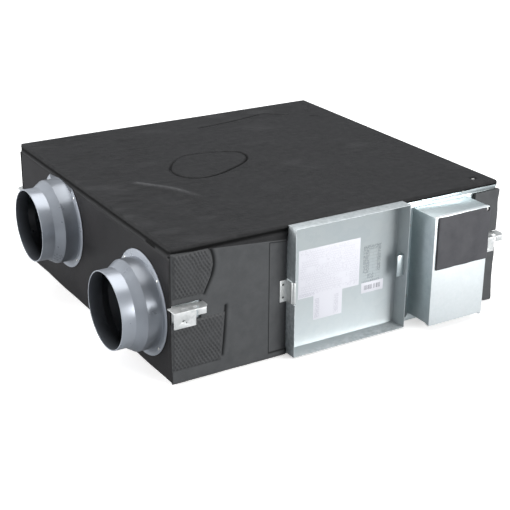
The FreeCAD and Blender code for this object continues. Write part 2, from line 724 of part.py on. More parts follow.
def control_box_pad():
    """Foam pad on the upper half of the lid, cut away around the lid's screw."""
    pad_solid = block("sizes.box_left + 7", BOX_RIGHT, f"{BOX_FRONT} - sizes.pad_thick", BOX_FRONT,
                      "sizes.box_high - sizes.pad_height", "sizes.box_high - 0.5")
    hole = round_bar("4.3", "20", f"{BOX_RIGHT} - 8", f"{BOX_FRONT} - 10", "sizes.box_high - 5",
                     "y")
    return keep(cut(pad_solid, [hole]), "control_box_pad")


def circuit_board():
    """Board on the box's posts with its larger components."""
    face = f"({METAL_FRONT} - sizes.board_back - 1.6)"
    board = block("sizes.box_left + 12", f"{BOX_RIGHT} - 12", face,
                  f"{METAL_FRONT} - sizes.board_back", "120", "260")
    components = [
        block(f"sizes.box_left + {x_from}", f"sizes.box_left + {x_to}", f"{face} - {height}", face,
              low, high)
        for x_from, x_to, height, low, high in ((24, 44, 28, 200, 230), (76, 100, 24, 196, 226),
                                                (30, 60, 12, 150, 176), (84, 124, 16, 140, 166))]
    keep(fuse([board] + components), "circuit_board")


def terminal_block():
    """Row of eight clamps on a common foot."""
    seat = f"{METAL_FRONT} - sizes.metal_thick"
    pitch, width, count = 14, 12, 8
    foot = block("sizes.box_left + 16", "sizes.box_left + 130", f"{METAL_FRONT} - 12", seat,
                 "40", "90")
    clamps = []
    for index in range(count):
        start = 18 + pitch * index
        clamps.append(block(f"sizes.box_left + {start}", f"sizes.box_left + {start + width}",
                            f"{METAL_FRONT} - 34", seat, "46", "84"))
    keep(fuse(clamps + [foot]), "terminal_block")


def cable_grommet():
    """Rubber ring in the hole through which the cables reach the fans."""
    ring = cable_bar("sizes.cable_hole_radius + 4", f"{METAL_FRONT} - 4", "3")
    neck = cable_bar("sizes.cable_hole_radius - 0.2", f"{METAL_FRONT} - 2", "6")
    way = cable_bar("sizes.cable_hole_radius - 3", f"{METAL_FRONT} - 8")
    keep(cut(fuse([ring, neck]), [way]), "cable_grommet")


def exchanger_cores():
    """Two square blocks stood on an edge, end to end along the depth."""
    half = f"(sizes.core_side * {HALF_ROOT})"
    for index, label in enumerate(("front_core", "rear_core")):
        body = new_body(label)
        start = f"(sizes.core_front + {index} * (sizes.core_length + 2))"
        sketch = new_sketch(body, "XZ_Plane", f"-{start}")
        add_polygon(sketch, [(f"-{half}", CORE_Z), ("0", f"{CORE_Z} - {half}"),
                             (half, CORE_Z), ("0", f"{CORE_Z} + {half}")])
        pad(body, sketch, "sizes.core_length", back=True)
        keep(body, label)


def core_rails():
    """Four V-shaped rails that hold the corners of the cores, each on a short web."""
    arm = f"(sizes.rail_arm * {HALF_ROOT})"
    step = "(sizes.rail_thick * sqrt(2))"
    half_step = f"({step} / 2)"
    apex = f"(-sizes.core_side * {HALF_ROOT} - sizes.fit_gap)"
    foot = f"({ROOM_LOW} - {CORE_Z})"
    half_web = "(sizes.rail_thick / 2)"
    web_top = f"({apex} - {step} + {half_web})"
    for turn, label in enumerate(("bottom_rail", "right_rail", "top_rail", "left_rail")):
        body = new_body(label)
        sketch = new_sketch(body, "XZ_Plane", "-sizes.core_front")
        add_polygon(sketch, [
            (f"-{arm}", f"{apex} + {arm}"),
            (f"-{arm} - {half_step}", f"{apex} + {arm} - {half_step}"),
            (f"-{half_web}", web_top), (f"-{half_web}", foot),
            (half_web, foot), (half_web, web_top),
            (f"{arm} + {half_step}", f"{apex} + {arm} - {half_step}"),
            (arm, f"{apex} + {arm}"), ("0", apex)])
        pad(body, sketch, CORE_RUN, back=True)
        body.Placement = FreeCAD.Placement(
            FreeCAD.Vector(), FreeCAD.Rotation(FreeCAD.Vector(0, 1, 0), -90 * turn))
        place(body, "0", "0", CORE_Z)
        keep(body, label)


def filters():
    """Flat filter panels lying on the two upper faces of the cores."""
    lift = "(sizes.core_side / 2 + 3)"
    half = "(sizes.filter_width / 2)"
    for side, label in ((-1, "outdoor_filter"), (1, "return_filter")):
        frame = doc.addObject("Part::Box", label)
        frame.setExpression("Length", "sizes.filter_width")
        frame.setExpression("Width", CORE_RUN)
        frame.setExpression("Height", "sizes.filter_thick")
        frame.Placement = FreeCAD.Placement(
            FreeCAD.Vector(), FreeCAD.Rotation(FreeCAD.Vector(0, 1, 0), 45 * side))
        x = f"({side} * {lift} - {half}) * {HALF_ROOT}"
        z = f"{CORE_Z} + ({lift} + {side} * {half}) * {HALF_ROOT}"
        place(frame, x, "sizes.core_front", z)
        keep(frame, label)


def side_block(side, near, far, y_from, y_to, z_from, z_to):
    """A box given by its distances from the middle plane, on the left or on the right."""
    low, high = (near, far) if side > 0 else (f"-({far})", f"-({near})")
    return block(low, high, y_from, y_to, z_from, z_to)


def partitions():
    """Sheet walls that split each side room into a fan room and an inlet room."""
    front_edge = f"{FRONT} + sizes.jamb_depth"
    rear_edge = f"{METAL_REAR} - 2 * sizes.metal_thick"
    far = f"({METAL_RIGHT} - 2 * sizes.metal_thick)"
    for side, label, y_mid in ((-1, "left_partition", "sizes.left_partition_y"),
                               (1, "right_partition", "sizes.right_partition_y")):
        solids = [
            side_block(side, PARTITION_IN, PARTITION_OUT, front_edge, y_mid, CORE_Z, ROOM_HIGH),
            side_block(side, PARTITION_IN, PARTITION_OUT, y_mid, rear_edge, ROOM_LOW, CORE_Z),
            side_block(side, PARTITION_IN, far, y_mid, f"{y_mid} + sizes.partition_thick",
                       ROOM_LOW, ROOM_HIGH)]
        if side < 0:
            solids.append(side_block(side, PARTITION_IN, PARTITION_OUT, "sizes.end_plate_y",
                                     rear_edge, CORE_Z, ROOM_HIGH))
        keep(fuse(solids), label)


def volute_face(shrink):
    """Plan outline of a fan scroll: three growing quarter arcs and a straight outlet."""
    cx, cy = -number("sizes.fan_x"), number("sizes.fan_y")
    step = number("sizes.scroll_step")
    base = number("sizes.scroll_base")
    outlet_x = number(f"{METAL_LEFT} + 2 * sizes.metal_thick")
    left, right = cx - step / 2, cx + step / 2
    high, low = cy + step / 2, cy - step / 2
    arcs = []
    for (ax, ay), grow, start in (((right, high), 0, 90), ((right, low), 1, 0),
                                  ((left, low), 2, -90)):
        radius = base + grow * step - shrink
        arcs.append(Part.makeCircle(radius, FreeCAD.Vector(ax, ay, 0), FreeCAD.Vector(0, 0, 1),
                                    start, start + 90))
    floor = low - base - 2 * step + shrink
    tongue = floor + number("sizes.scroll_mouth") - 2 * shrink
    left_edge = right - base + shrink
    corners = [FreeCAD.Vector(left, floor, 0), FreeCAD.Vector(outlet_x, floor, 0),
               FreeCAD.Vector(outlet_x, tongue, 0), FreeCAD.Vector(left_edge, tongue, 0),
               FreeCAD.Vector(left_edge, high, 0)]
    lines = [Part.makeLine(a, b) for a, b in zip(corners, corners[1:])]
    return Part.Face(Part.Wire(Part.sortEdges(arcs + lines)[0]))


def fan_scrolls():
    """Scroll housings: inlet ring below, motor plate above, outlet against the side panel."""
    low, high = number("sizes.fan_low"), number("sizes.fan_high")
    wall = number("sizes.scroll_wall")
    cx, cy = -number("sizes.fan_x"), number("sizes.fan_y")
    solid = volute_face(0).extrude(FreeCAD.Vector(0, 0, high - low))
    hollow = volute_face(wall).extrude(FreeCAD.Vector(0, 0, high - low - 2 * wall))
    hollow.translate(FreeCAD.Vector(0, 0, wall))
    inlet = Part.makeCylinder(number("sizes.blade_inner_radius") - 2, 4 * wall,
                              FreeCAD.Vector(cx, cy, -2 * wall))
    hub_hole = Part.makeCylinder(14, 4 * wall, FreeCAD.Vector(cx, cy, high - low - 2 * wall))
    shell = solid.cut(hollow).cut(inlet).cut(hub_hole)
    # the supply scroll is the exhaust one turned half round the vertical line x = 0, y = fan_y
    for label, angle, shift in (("exhaust_scroll", 0, 0), ("supply_scroll", 180, 2 * cy)):
        item = doc.addObject("Part::Feature", label)
        item.Shape = shell
        item.Placement = FreeCAD.Placement(
            FreeCAD.Vector(0, shift, low), FreeCAD.Rotation(FreeCAD.Vector(0, 0, 1), angle))
        keep(item, label)


def impeller(label, x):
    """Forward-blade wheel: top disc with hub, ring below, blades between them."""
    body = new_body(label)
    wheel_low = "(sizes.fan_low + 10)"
    wheel_high = "(sizes.fan_high - 12)"
    profile = new_sketch(body, "XZ_Plane")
    bore = "sizes.shaft_radius"
    add_polygon(profile, [(bore, f"{wheel_high} - 24"), ("11", f"{wheel_high} - 24"),
                          ("11", f"{wheel_high} - 2"),
                          ("sizes.impeller_radius", f"{wheel_high} - 2"),
                          ("sizes.impeller_radius", wheel_high), (bore, wheel_high)])
    revolve(body, profile)
    doc.recompute()
    ring = new_sketch(body, "XY_Plane", wheel_low)
    add_circle(ring, "0", "0", "sizes.impeller_radius")
    add_circle(ring, "0", "0", "sizes.blade_inner_radius")
    ring_pad = body.newObject("PartDesign::Pad", f"{label}_ring")
    ring_pad.Profile = ring
    ring_pad.Length = 2
    blade = new_sketch(body, "XY_Plane", wheel_low)
    inner = "(sizes.blade_inner_radius + 0.6)"
    outer = "(sizes.impeller_radius - 0.8)"
    lean = "5"
    add_polygon(blade, [(inner, "0"), (outer, lean), (outer, f"{lean} + sizes.blade_thick"),
                        (inner, "sizes.blade_thick")])
    blade_pad = body.newObject("PartDesign::Pad", f"{label}_blade")
    blade_pad.Profile = blade
    blade_pad.setExpression("Length", f"{wheel_high} - {wheel_low} - 1")
    body.Tip = blade_pad
    doc.recompute()
    fan = body.newObject("PartDesign::PolarPattern", f"{label}_blades")
    fan.Originals = [blade_pad]
    fan.Axis = (blade, ["N_Axis"])
    fan.Angle = 360
    fan.setExpression("Occurrences", "sizes.blade_count")
    body.Tip = fan
    place(body, x, "sizes.fan_y", "0")
    return keep(body, label)


def fan_motor(label, x):
    """Round motor on the scroll's top plate with a bore for its shaft."""
    body = new_body(label)
    sketch = new_sketch(body, "XZ_Plane")
    low = "sizes.fan_high"
    high = "(sizes.fan_high + sizes.motor_height)"
    bore = "(sizes.shaft_radius + sizes.running_gap)"
    add_polygon(sketch, [(bore, low), ("sizes.motor_radius + 8", low),
                         ("sizes.motor_radius + 8", f"{low} + 3"),
                         ("sizes.motor_radius", f"{low} + 3"),
                         ("sizes.motor_radius", f"{high} - 8"),
                         ("sizes.motor_radius - 8", high), (bore, high)])
    revolve(body, sketch)
    place(body, x, "sizes.fan_y", "0")
    return keep(body, label)


def fans():
    for side, name in ((-1, "exhaust"), (1, "supply")):
        x = f"{side} * sizes.fan_x"
        impeller(f"{name}_impeller", x)
        fan_motor(f"{name}_motor", x)
        shaft = round_bar("sizes.shaft_radius", "sizes.motor_height + 30", x, "sizes.fan_y",
                          "sizes.fan_high - 34")
        keep(shaft, f"{name}_shaft")


def fan_legs():
    """Four upright strips under each scroll, turned half round on the supply side."""
    legs = []
    for side in (-1, 1):
        for across in (-1, 1):
            for along in ("sizes.leg_front", "sizes.leg_rear"):
                x = f"({side} * sizes.fan_x + {across} * sizes.leg_across)"
                y = f"(sizes.fan_y - {side} * ({along}))"
                legs.append(block(f"{x} - sizes.leg_width / 2", f"{x} + sizes.leg_width / 2",
                                  f"{y} - sizes.leg_thick / 2", f"{y} + sizes.leg_thick / 2",
                                  ROOM_LOW, "sizes.fan_low"))
    keep(group(legs), "fan_legs")


def core_end_plate():
    """Wall behind the cores with an opening low on the left for the bypass air."""
    plate = block(f"-{PARTITION_IN}", PARTITION_IN, "sizes.end_plate_y",
                  "sizes.end_plate_y + 2", ROOM_LOW, ROOM_HIGH)
    opening = block(f"-{PARTITION_IN} + 8", "-70", "sizes.end_plate_y - 2", "sizes.end_plate_y + 4",
                    "12", "70")
    return keep(cut(plate, [opening]), "core_end_plate")


def damper_frame():
    """Upper wall beside the damper, with its opening, motor notch and lower bearing."""
    half = "(sizes.damper_width / 2 + 1.5)"
    plate = block(PARTITION_IN, PARTITION_OUT, "sizes.end_plate_y", f"{METAL_REAR} - 2 * sizes.metal_thick",
                  CORE_Z, ROOM_HIGH)
    opening = block(f"{PARTITION_IN} - 1", f"{PARTITION_OUT} + 1", f"sizes.damper_y - {half}",
                    f"sizes.damper_y + {half}", "sizes.damper_low - 2", "sizes.damper_high + 2")
    notch = block(f"{PARTITION_IN} - 1", f"{PARTITION_OUT} + 1", "sizes.damper_y - 15.5",
                  "sizes.damper_y + 15.5", "sizes.damper_high", f"{ROOM_HIGH} + 1")
    boss = round_bar("sizes.damper_shaft_radius + 3", "10", DAMPER_X, "sizes.damper_y",
                     "sizes.damper_low - 12")
    bore = round_bar("sizes.damper_shaft_radius + sizes.running_gap", "8", DAMPER_X,
                     "sizes.damper_y", "sizes.damper_low - 9.5")
    return keep(cut(fuse([cut(plate, [opening, notch]), boss]), [bore]), "damper_frame")


def damper():
    """Flap clamped on its shaft, and the motor that turns the shaft from above."""
    shaft = round_bar("sizes.damper_shaft_radius", "sizes.damper_high - sizes.damper_low + 19",
                      DAMPER_X, "sizes.damper_y", "sizes.damper_low - 9")
    keep(shaft, "damper_shaft")
    plate = block(f"{DAMPER_X} - 1", f"{DAMPER_X} + 1",
                  "sizes.damper_y - sizes.damper_width / 2",
                  "sizes.damper_y + sizes.damper_width / 2",
                  "sizes.damper_low", "sizes.damper_high")
    sleeve = round_bar("sizes.damper_shaft_radius + 1.5",
                       "sizes.damper_high - sizes.damper_low", DAMPER_X, "sizes.damper_y",
                       "sizes.damper_low")
    bore = round_bar("sizes.damper_shaft_radius", "200", DAMPER_X, "sizes.damper_y",
                     "sizes.damper_low - 20")
    keep(cut(fuse([plate, sleeve]), [bore]), "damper_flap")
    motor = block(f"{DAMPER_X} - 15", f"{DAMPER_X} + 15", "sizes.damper_y - 15",
                  "sizes.damper_y + 15", "sizes.damper_high + 2.5", ROOM_HIGH)
    seat = round_bar("sizes.damper_shaft_radius + sizes.running_gap", "9", DAMPER_X,
                     "sizes.damper_y", "sizes.damper_high + 2")
    keep(cut(motor, [seat]), "damper_motor")


base_pan()
top_panel()
side_panels()
rear_panel()
front_panels()
top_foam()
side_foams()
rear_foam()
front_foam()
quilted_patches()
front_right_foam()
duct_collars()
hanger_brackets()
casing_screws()
collar_screws()
maintenance_cover()
hinge_pin()
hinge_bracket()
cover_catch()
cover_labels()
cover_seal()
control_box()
control_box_lid()
control_box_pad()
circuit_board()
terminal_block()
cable_grommet()
exchanger_cores()
core_rails()
filters()
partitions()
fan_scrolls()
fans()
fan_legs()
core_end_plate()
damper_frame()
damper()

doc.recompute()

faults = [item.Name for item in doc.Objects
          if "Invalid" in item.State or "Error" in item.State]
for node in nodes:
    if node.Shape.isNull() or not node.Shape.isValid():
        faults.append(node.Label)
if faults:
    raise RuntimeError("not sound: " + ", ".join(faults))

os.makedirs("parts", exist_ok=True)
for node in nodes:
    node.Shape.exportStep(f"parts/{node.Label}.step")
print(len(nodes), "sub-parts written")
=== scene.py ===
import json
import math
import random

import bmesh
import bpy
import numpy as np
from mathutils import Matrix, Vector

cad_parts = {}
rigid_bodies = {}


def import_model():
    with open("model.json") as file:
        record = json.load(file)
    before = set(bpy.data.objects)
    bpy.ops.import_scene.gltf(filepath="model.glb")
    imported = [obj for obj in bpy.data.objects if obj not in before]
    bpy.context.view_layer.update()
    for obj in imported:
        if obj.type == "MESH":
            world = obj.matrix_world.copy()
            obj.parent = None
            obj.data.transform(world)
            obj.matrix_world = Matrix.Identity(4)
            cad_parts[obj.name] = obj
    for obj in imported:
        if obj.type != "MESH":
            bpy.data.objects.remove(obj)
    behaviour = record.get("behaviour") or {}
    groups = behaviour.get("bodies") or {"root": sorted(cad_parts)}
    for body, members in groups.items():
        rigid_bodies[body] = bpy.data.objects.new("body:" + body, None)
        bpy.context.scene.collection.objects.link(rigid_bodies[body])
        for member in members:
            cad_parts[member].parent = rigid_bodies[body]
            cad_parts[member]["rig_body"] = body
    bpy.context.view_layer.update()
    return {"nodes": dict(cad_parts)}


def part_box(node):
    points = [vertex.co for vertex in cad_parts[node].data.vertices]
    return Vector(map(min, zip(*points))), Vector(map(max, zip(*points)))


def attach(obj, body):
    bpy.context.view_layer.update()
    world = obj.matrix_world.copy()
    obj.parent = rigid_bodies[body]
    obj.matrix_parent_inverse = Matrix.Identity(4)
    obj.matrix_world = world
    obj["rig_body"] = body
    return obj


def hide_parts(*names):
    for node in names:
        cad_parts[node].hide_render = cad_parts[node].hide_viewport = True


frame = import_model()
nodes = frame["nodes"]
print("frame loaded,", len(nodes), "nodes")

# node helpers


def addNode(tree, kind, inputs=None, **settings):
    node = tree.nodes.new(kind)
    for key, value in settings.items():
        setattr(node, key, value)
    for key, value in (inputs or {}).items():
        socket = node.inputs[key]
        if isinstance(value, bpy.types.NodeSocket):
            tree.links.new(value, socket)
        else:
            socket.default_value = value
    return node


def calc(tree, operation, first, second=0.0, clamp=False):
    node = addNode(tree, "ShaderNodeMath", {0: first, 1: second},
                   operation=operation, use_clamp=clamp)
    return node.outputs[0]


def remap(tree, value, fromLow, fromHigh, toLow=0.0, toHigh=1.0):
    node = addNode(tree, "ShaderNodeMapRange",
                   {0: value, 1: fromLow, 2: fromHigh, 3: toLow, 4: toHigh})
    return node.outputs[0]


def mixColour(tree, factor, first, second, blend="MIX"):
    node = addNode(tree, "ShaderNodeMix", {0: factor, 6: first, 7: second},
                   data_type="RGBA", blend_type=blend)
    return node.outputs[2]


def objectPlace(tree):
    return addNode(tree, "ShaderNodeTexCoord").outputs["Object"]


def newGroup(name, inputs, outputs):
    group = bpy.data.node_groups.new(name, "ShaderNodeTree")
    for title, kind, value in inputs:
        socket = group.interface.new_socket(name=title, in_out="INPUT", socket_type=kind)
        socket.default_value = value
    for title, kind in outputs:
        group.interface.new_socket(name=title, in_out="OUTPUT", socket_type=kind)
    entry = group.nodes.new("NodeGroupInput")
    exit_ = group.nodes.new("NodeGroupOutput")
    return group, entry, exit_


def useGroup(tree, group, **inputs):
    node = tree.nodes.new("ShaderNodeGroup")
    node.node_tree = group
    for title, value in inputs.items():
        socket = node.inputs[title]
        if isinstance(value, bpy.types.NodeSocket):
            tree.links.new(value, socket)
        else:
            socket.default_value = value
    return node


# camera, floor and light

camera = {
    "place": (-1.39494, -2.32012, 1.177),
    "turn": (67.506, -0.435, -31.165),
    "lens": 83.69,
    "sensor": 36.0,
    "clipEnd": 100.0,
}

studio = {
    "floorSize": 40.0, "floorRough": 0.9, "floorSpecular": 0.1,
    "floorColour": (0.96, 0.96, 0.96, 1.0),
    "floorGlow": (0.45, 0.44, 0.43, 1.0),
    # the floor throws back less light than it shows, so dark faces near it stay dark
    "floorBounce": (0.42, 0.43, 0.44, 1.0),
    "worldColour": (0.93, 0.96, 1.0, 1.0),
    "worldStrength": 0.46, "worldSeen": 1.05,
    # name, place, width, height, watts
    "lamps": [
        ("frontLamp", (1.9, -3.5, 0.9), 2.6, 1.6, 185.0),
        ("topLamp", (0.4, 0.4, 3.6), 3.2, 3.2, 95.0),
        ("leftLamp", (-3.6, 0.9, 0.75), 1.6, 1.4, 175.0),
    ],
    "aim": (0.0, 0.0, 0.15),
}


def placeObject(name, data):
    made = bpy.data.objects.new(name, data)
    bpy.context.scene.collection.objects.link(made)
    return made


def seenDirectly(tree):
    # 1 where the camera looks straight at it, 0 for light on its way to the object
    return addNode(tree, "ShaderNodeLightPath").outputs["Is Camera Ray"]


def setUpCamera():
    eye = placeObject("camera", bpy.data.cameras.new("camera"))
    eye.location = camera["place"]
    eye.rotation_euler = [math.radians(a) for a in camera["turn"]]
    eye.data.lens = camera["lens"]
    eye.data.sensor_width = camera["sensor"]
    eye.data.clip_end = camera["clipEnd"]
    bpy.context.scene.camera = eye


def setUpWorld():
    world = bpy.data.worlds.new("studioWorld")
    world.use_nodes = True
    tree = world.node_tree
    background = tree.nodes["Background"]
    background.inputs["Color"].default_value = studio["worldColour"]
    strength = remap(tree, seenDirectly(tree), 0.0, 1.0,
                     studio["worldStrength"], studio["worldSeen"])
    tree.links.new(strength, background.inputs["Strength"])
    bpy.context.scene.world = world


def hangLamp(name, place, width, height, watts):
    data = bpy.data.lights.new(name, "AREA")
    data.shape = "RECTANGLE"
    data.size, data.size_y, data.energy = width, height, watts
    lamp = placeObject(name, data)
    lamp.location = place
    direction = Vector(studio["aim"]) - Vector(place)
    lamp.rotation_euler = direction.to_track_quat("-Z", "Y").to_euler()


def makeFloorPaint():
    paint = bpy.data.materials.new("floorPaint")
    paint.use_nodes = True
    tree = paint.node_tree
    shader = tree.nodes["Principled BSDF"]
    seen = seenDirectly(tree)
    tree.links.new(mixColour(tree, seen, (0, 0, 0, 1), studio["floorGlow"]),
                   shader.inputs["Emission Color"])
    shader.inputs["Emission Strength"].default_value = 1.0
    tree.links.new(mixColour(tree, seen, studio["floorBounce"], studio["floorColour"]),
                   shader.inputs["Base Color"])
    shader.inputs["Roughness"].default_value = studio["floorRough"]
    shader.inputs["Specular IOR Level"].default_value = studio["floorSpecular"]
    return paint


def layFloor():
    work = bmesh.new()
    bmesh.ops.create_grid(work, x_segments=1, y_segments=1, size=studio["floorSize"] / 2)
    mesh = bpy.data.meshes.new("floor")
    work.to_mesh(mesh)
    work.free()
    mesh.materials.append(makeFloorPaint())
    placeObject("floor", mesh)


bpy.context.scene.view_settings.view_transform = "Standard"
setUpCamera()
setUpWorld()
for lamp in studio["lamps"]:
    hangLamp(*lamp)
layFloor()
print("camera and light set")

# shared surface effects

floatSocket, vectorSocket = "NodeSocketFloat", "NodeSocketVector"


def makeGrainGroup():
    group, entry, exit_ = newGroup(
        "surfaceGrain",
        [("Scale", floatSocket, 400.0), ("Detail", floatSocket, 4.0),
         ("Mottle", floatSocket, 30.0), ("Stretch", vectorSocket, (1.0, 1.0, 1.0))],
        [("Height", floatSocket), ("Mottle", floatSocket)])
    mapping = addNode(group, "ShaderNodeMapping",
                      {"Vector": objectPlace(group), "Scale": entry.outputs["Stretch"]})
    for title, scale in (("Height", "Scale"), ("Mottle", "Mottle")):
        noise = addNode(group, "ShaderNodeTexNoise",
                        {"Vector": mapping.outputs[0], "Scale": entry.outputs[scale],
                         "Detail": entry.outputs["Detail"], "Roughness": 0.6})
        group.links.new(noise.outputs["Fac"], exit_.inputs[title])
    return group


def makeWearGroup():
    group, entry, exit_ = newGroup(
        "edgeWear",
        [("Amount", floatSocket, 0.5), ("Breakup", floatSocket, 120.0)],
        [("Mask", floatSocket)])
    pointy = addNode(group, "ShaderNodeNewGeometry").outputs["Pointiness"]
    noise = addNode(group, "ShaderNodeTexNoise",
                    {"Vector": objectPlace(group), "Scale": entry.outputs["Breakup"]})
    edge = remap(group, pointy, 0.52, 0.62)
    broken = calc(group, "MULTIPLY", edge, remap(group, noise.outputs["Fac"], 0.35, 0.65))
    mask = calc(group, "MULTIPLY", broken, entry.outputs["Amount"], clamp=True)
    group.links.new(mask, exit_.inputs["Mask"])
    return group


def makeDustGroup():
    group, entry, exit_ = newGroup(
        "restingDust",
        [("Amount", floatSocket, 0.2), ("Scale", floatSocket, 60.0)],
        [("Mask", floatSocket)])
    normal = addNode(group, "ShaderNodeNewGeometry").outputs["Normal"]
    upward = addNode(group, "ShaderNodeSeparateXYZ", {0: normal}).outputs["Z"]
    noise = addNode(group, "ShaderNodeTexNoise",
                    {"Vector": objectPlace(group), "Scale": entry.outputs["Scale"],
                     "Detail": 6.0})
    lying = calc(group, "MULTIPLY", remap(group, upward, 0.3, 1.0),
                 remap(group, noise.outputs["Fac"], 0.4, 0.75))
    mask = calc(group, "MULTIPLY", lying, entry.outputs["Amount"], clamp=True)
    group.links.new(mask, exit_.inputs["Mask"])
    return group


def makeSpangleGroup():
    # zinc crystals: flat cells of slightly different brightness
    group, entry, exit_ = newGroup(
        "zincSpangle",
        [("Scale", floatSocket, 70.0)],
        [("Cells", floatSocket), ("Clouds", floatSocket)])
    place = objectPlace(group)
    bend = addNode(group, "ShaderNodeTexNoise", {"Vector": place, "Scale": 45.0})
    bent = addNode(group, "ShaderNodeVectorMath", {0: bend.outputs["Color"], 3: 0.02},
                   operation="SCALE").outputs[0]
    moved = addNode(group, "ShaderNodeVectorMath", {0: place, 1: bent}).outputs[0]
    cells = addNode(group, "ShaderNodeTexVoronoi",
                    {"Vector": moved, "Scale": entry.outputs["Scale"]})
    value = addNode(group, "ShaderNodeSeparateColor", {0: cells.outputs["Color"]})
    clouds = addNode(group, "ShaderNodeTexNoise",
                     {"Vector": place, "Scale": 9.0, "Detail": 5.0})
    group.links.new(value.outputs[0], exit_.inputs["Cells"])
    group.links.new(clouds.outputs["Fac"], exit_.inputs["Clouds"])
    return group


grainGroup = makeGrainGroup()
wearGroup = makeWearGroup()
dustGroup = makeDustGroup()
spangleGroup = makeSpangleGroup()

# materials

plainLook = {
    "colour": (0.5, 0.5, 0.5), "second": None, "rough": 0.5, "roughSpread": 0.12,
    "metal": 0.0, "specular": 0.5, "coat": 0.0, "sheen": 0.0,
    "grain": 400.0, "mottle": 30.0, "stretch": (1.0, 1.0, 1.0),
    "depth": 0.0002, "wear": 0.2, "wearColour": (0.8, 0.8, 0.8), "dust": 0.1,
    # share of painted shade where the mesh's attribute for it is 1, and the roughness it adds
    "seam": 0.0, "paintedShadeColour": (0.001, 0.001, 0.001), "paintedShadeRough": 0.4,
    # colour where the mesh's tone attribute is 1: a painted highlight on the top foam, painted
    # shade in the collars, the frames' own grey on the cores
    "tone": None,
}

dustColour = (0.32, 0.31, 0.30, 1.0)
dustRough = 0.3


def solid(colour):
    return (*colour, 1.0)


def startMaterial(name, look):
    material = bpy.data.materials.new(name)
    material.use_nodes = True
    shader = material.node_tree.nodes["Principled BSDF"]
    shader.inputs["Metallic"].default_value = look["metal"]
    shader.inputs["Specular IOR Level"].default_value = look["specular"]
    shader.inputs["Coat Weight"].default_value = look["coat"]
    shader.inputs["Sheen Weight"].default_value = look["sheen"]
    return material, material.node_tree, shader


def endMaterial(tree, shader, look, colour, rough, height):
    wear = useGroup(tree, wearGroup, Amount=look["wear"]).outputs["Mask"]
    dust = useGroup(tree, dustGroup, Amount=look["dust"]).outputs["Mask"]
    colour = mixColour(tree, wear, colour, solid(look["wearColour"]))
    colour = mixColour(tree, dust, colour, dustColour)
    rough = calc(tree, "ADD", rough, calc(tree, "MULTIPLY", dust, dustRough), clamp=True)
    bump = addNode(tree, "ShaderNodeBump",
                   {"Height": height, "Distance": look["depth"], "Strength": 1.0})
    tree.links.new(colour, shader.inputs["Base Color"])
    tree.links.new(rough, shader.inputs["Roughness"])
    tree.links.new(bump.outputs["Normal"], shader.inputs["Normal"])


def makeMaterial(name, **changes):
    look = {**plainLook, **changes}
    material, tree, shader = startMaterial(name, look)
    grain = useGroup(tree, grainGroup, Scale=look["grain"], Mottle=look["mottle"],
                     Stretch=look["stretch"])
    second = look["second"] or [c * 0.8 for c in look["colour"]]
    blotch = remap(tree, grain.outputs["Mottle"], 0.35, 0.65)
    colour = mixColour(tree, blotch, solid(look["colour"]), solid(second))
    seam = None
    # painted shade: darken towards the shade colour where the mesh's attribute for it is 1
    if look["seam"]:
        seam = addNode(tree, "ShaderNodeAttribute", attribute_name="seam").outputs["Fac"]
        colour = mixColour(tree, calc(tree, "MULTIPLY", seam, look["seam"], clamp=True),
                           colour, solid(look["paintedShadeColour"]))
    if look["tone"]:
        tone = addNode(tree, "ShaderNodeAttribute", attribute_name="tone").outputs["Fac"]
        colour = mixColour(tree, tone, colour, solid(look["tone"]))
    rough = remap(tree, grain.outputs["Mottle"], 0.3, 0.7,
                  look["rough"] - look["roughSpread"] / 2,
                  look["rough"] + look["roughSpread"] / 2)
    if seam:
        rough = calc(tree, "ADD", rough, calc(tree, "MULTIPLY", seam, look["paintedShadeRough"]),
                     clamp=True)
    endMaterial(tree, shader, look, colour, rough, grain.outputs["Height"])
    return material


def spangledColour(tree, look):
    spangle = useGroup(tree, spangleGroup, Scale=look["spangle"])
    cells = remap(tree, spangle.outputs["Cells"], 0.0, 1.0, 0.0, 0.5)
    clouds = remap(tree, spangle.outputs["Clouds"], 0.35, 0.65, 0.0, 0.5)
    blend = calc(tree, "ADD", cells, clouds)
    colour = mixColour(tree, blend, solid(look["colour"]), solid(look["second"]))
    rough = remap(tree, blend, 0.0, 1.0, look["rough"] - look["roughSpread"] / 2,
                  look["rough"] + look["roughSpread"] / 2)
    return colour, rough


def makeGalvanised(name, **changes):
    look = {**plainLook, "spangle": 70.0, **changes}
    material, tree, shader = startMaterial(name, look)
    colour, rough = spangledColour(tree, look)
    grain = useGroup(tree, grainGroup, Scale=look["grain"], Mottle=look["mottle"],
                     Stretch=look["stretch"])
    endMaterial(tree, shader, look, colour, rough, grain.outputs["Height"])
    return material


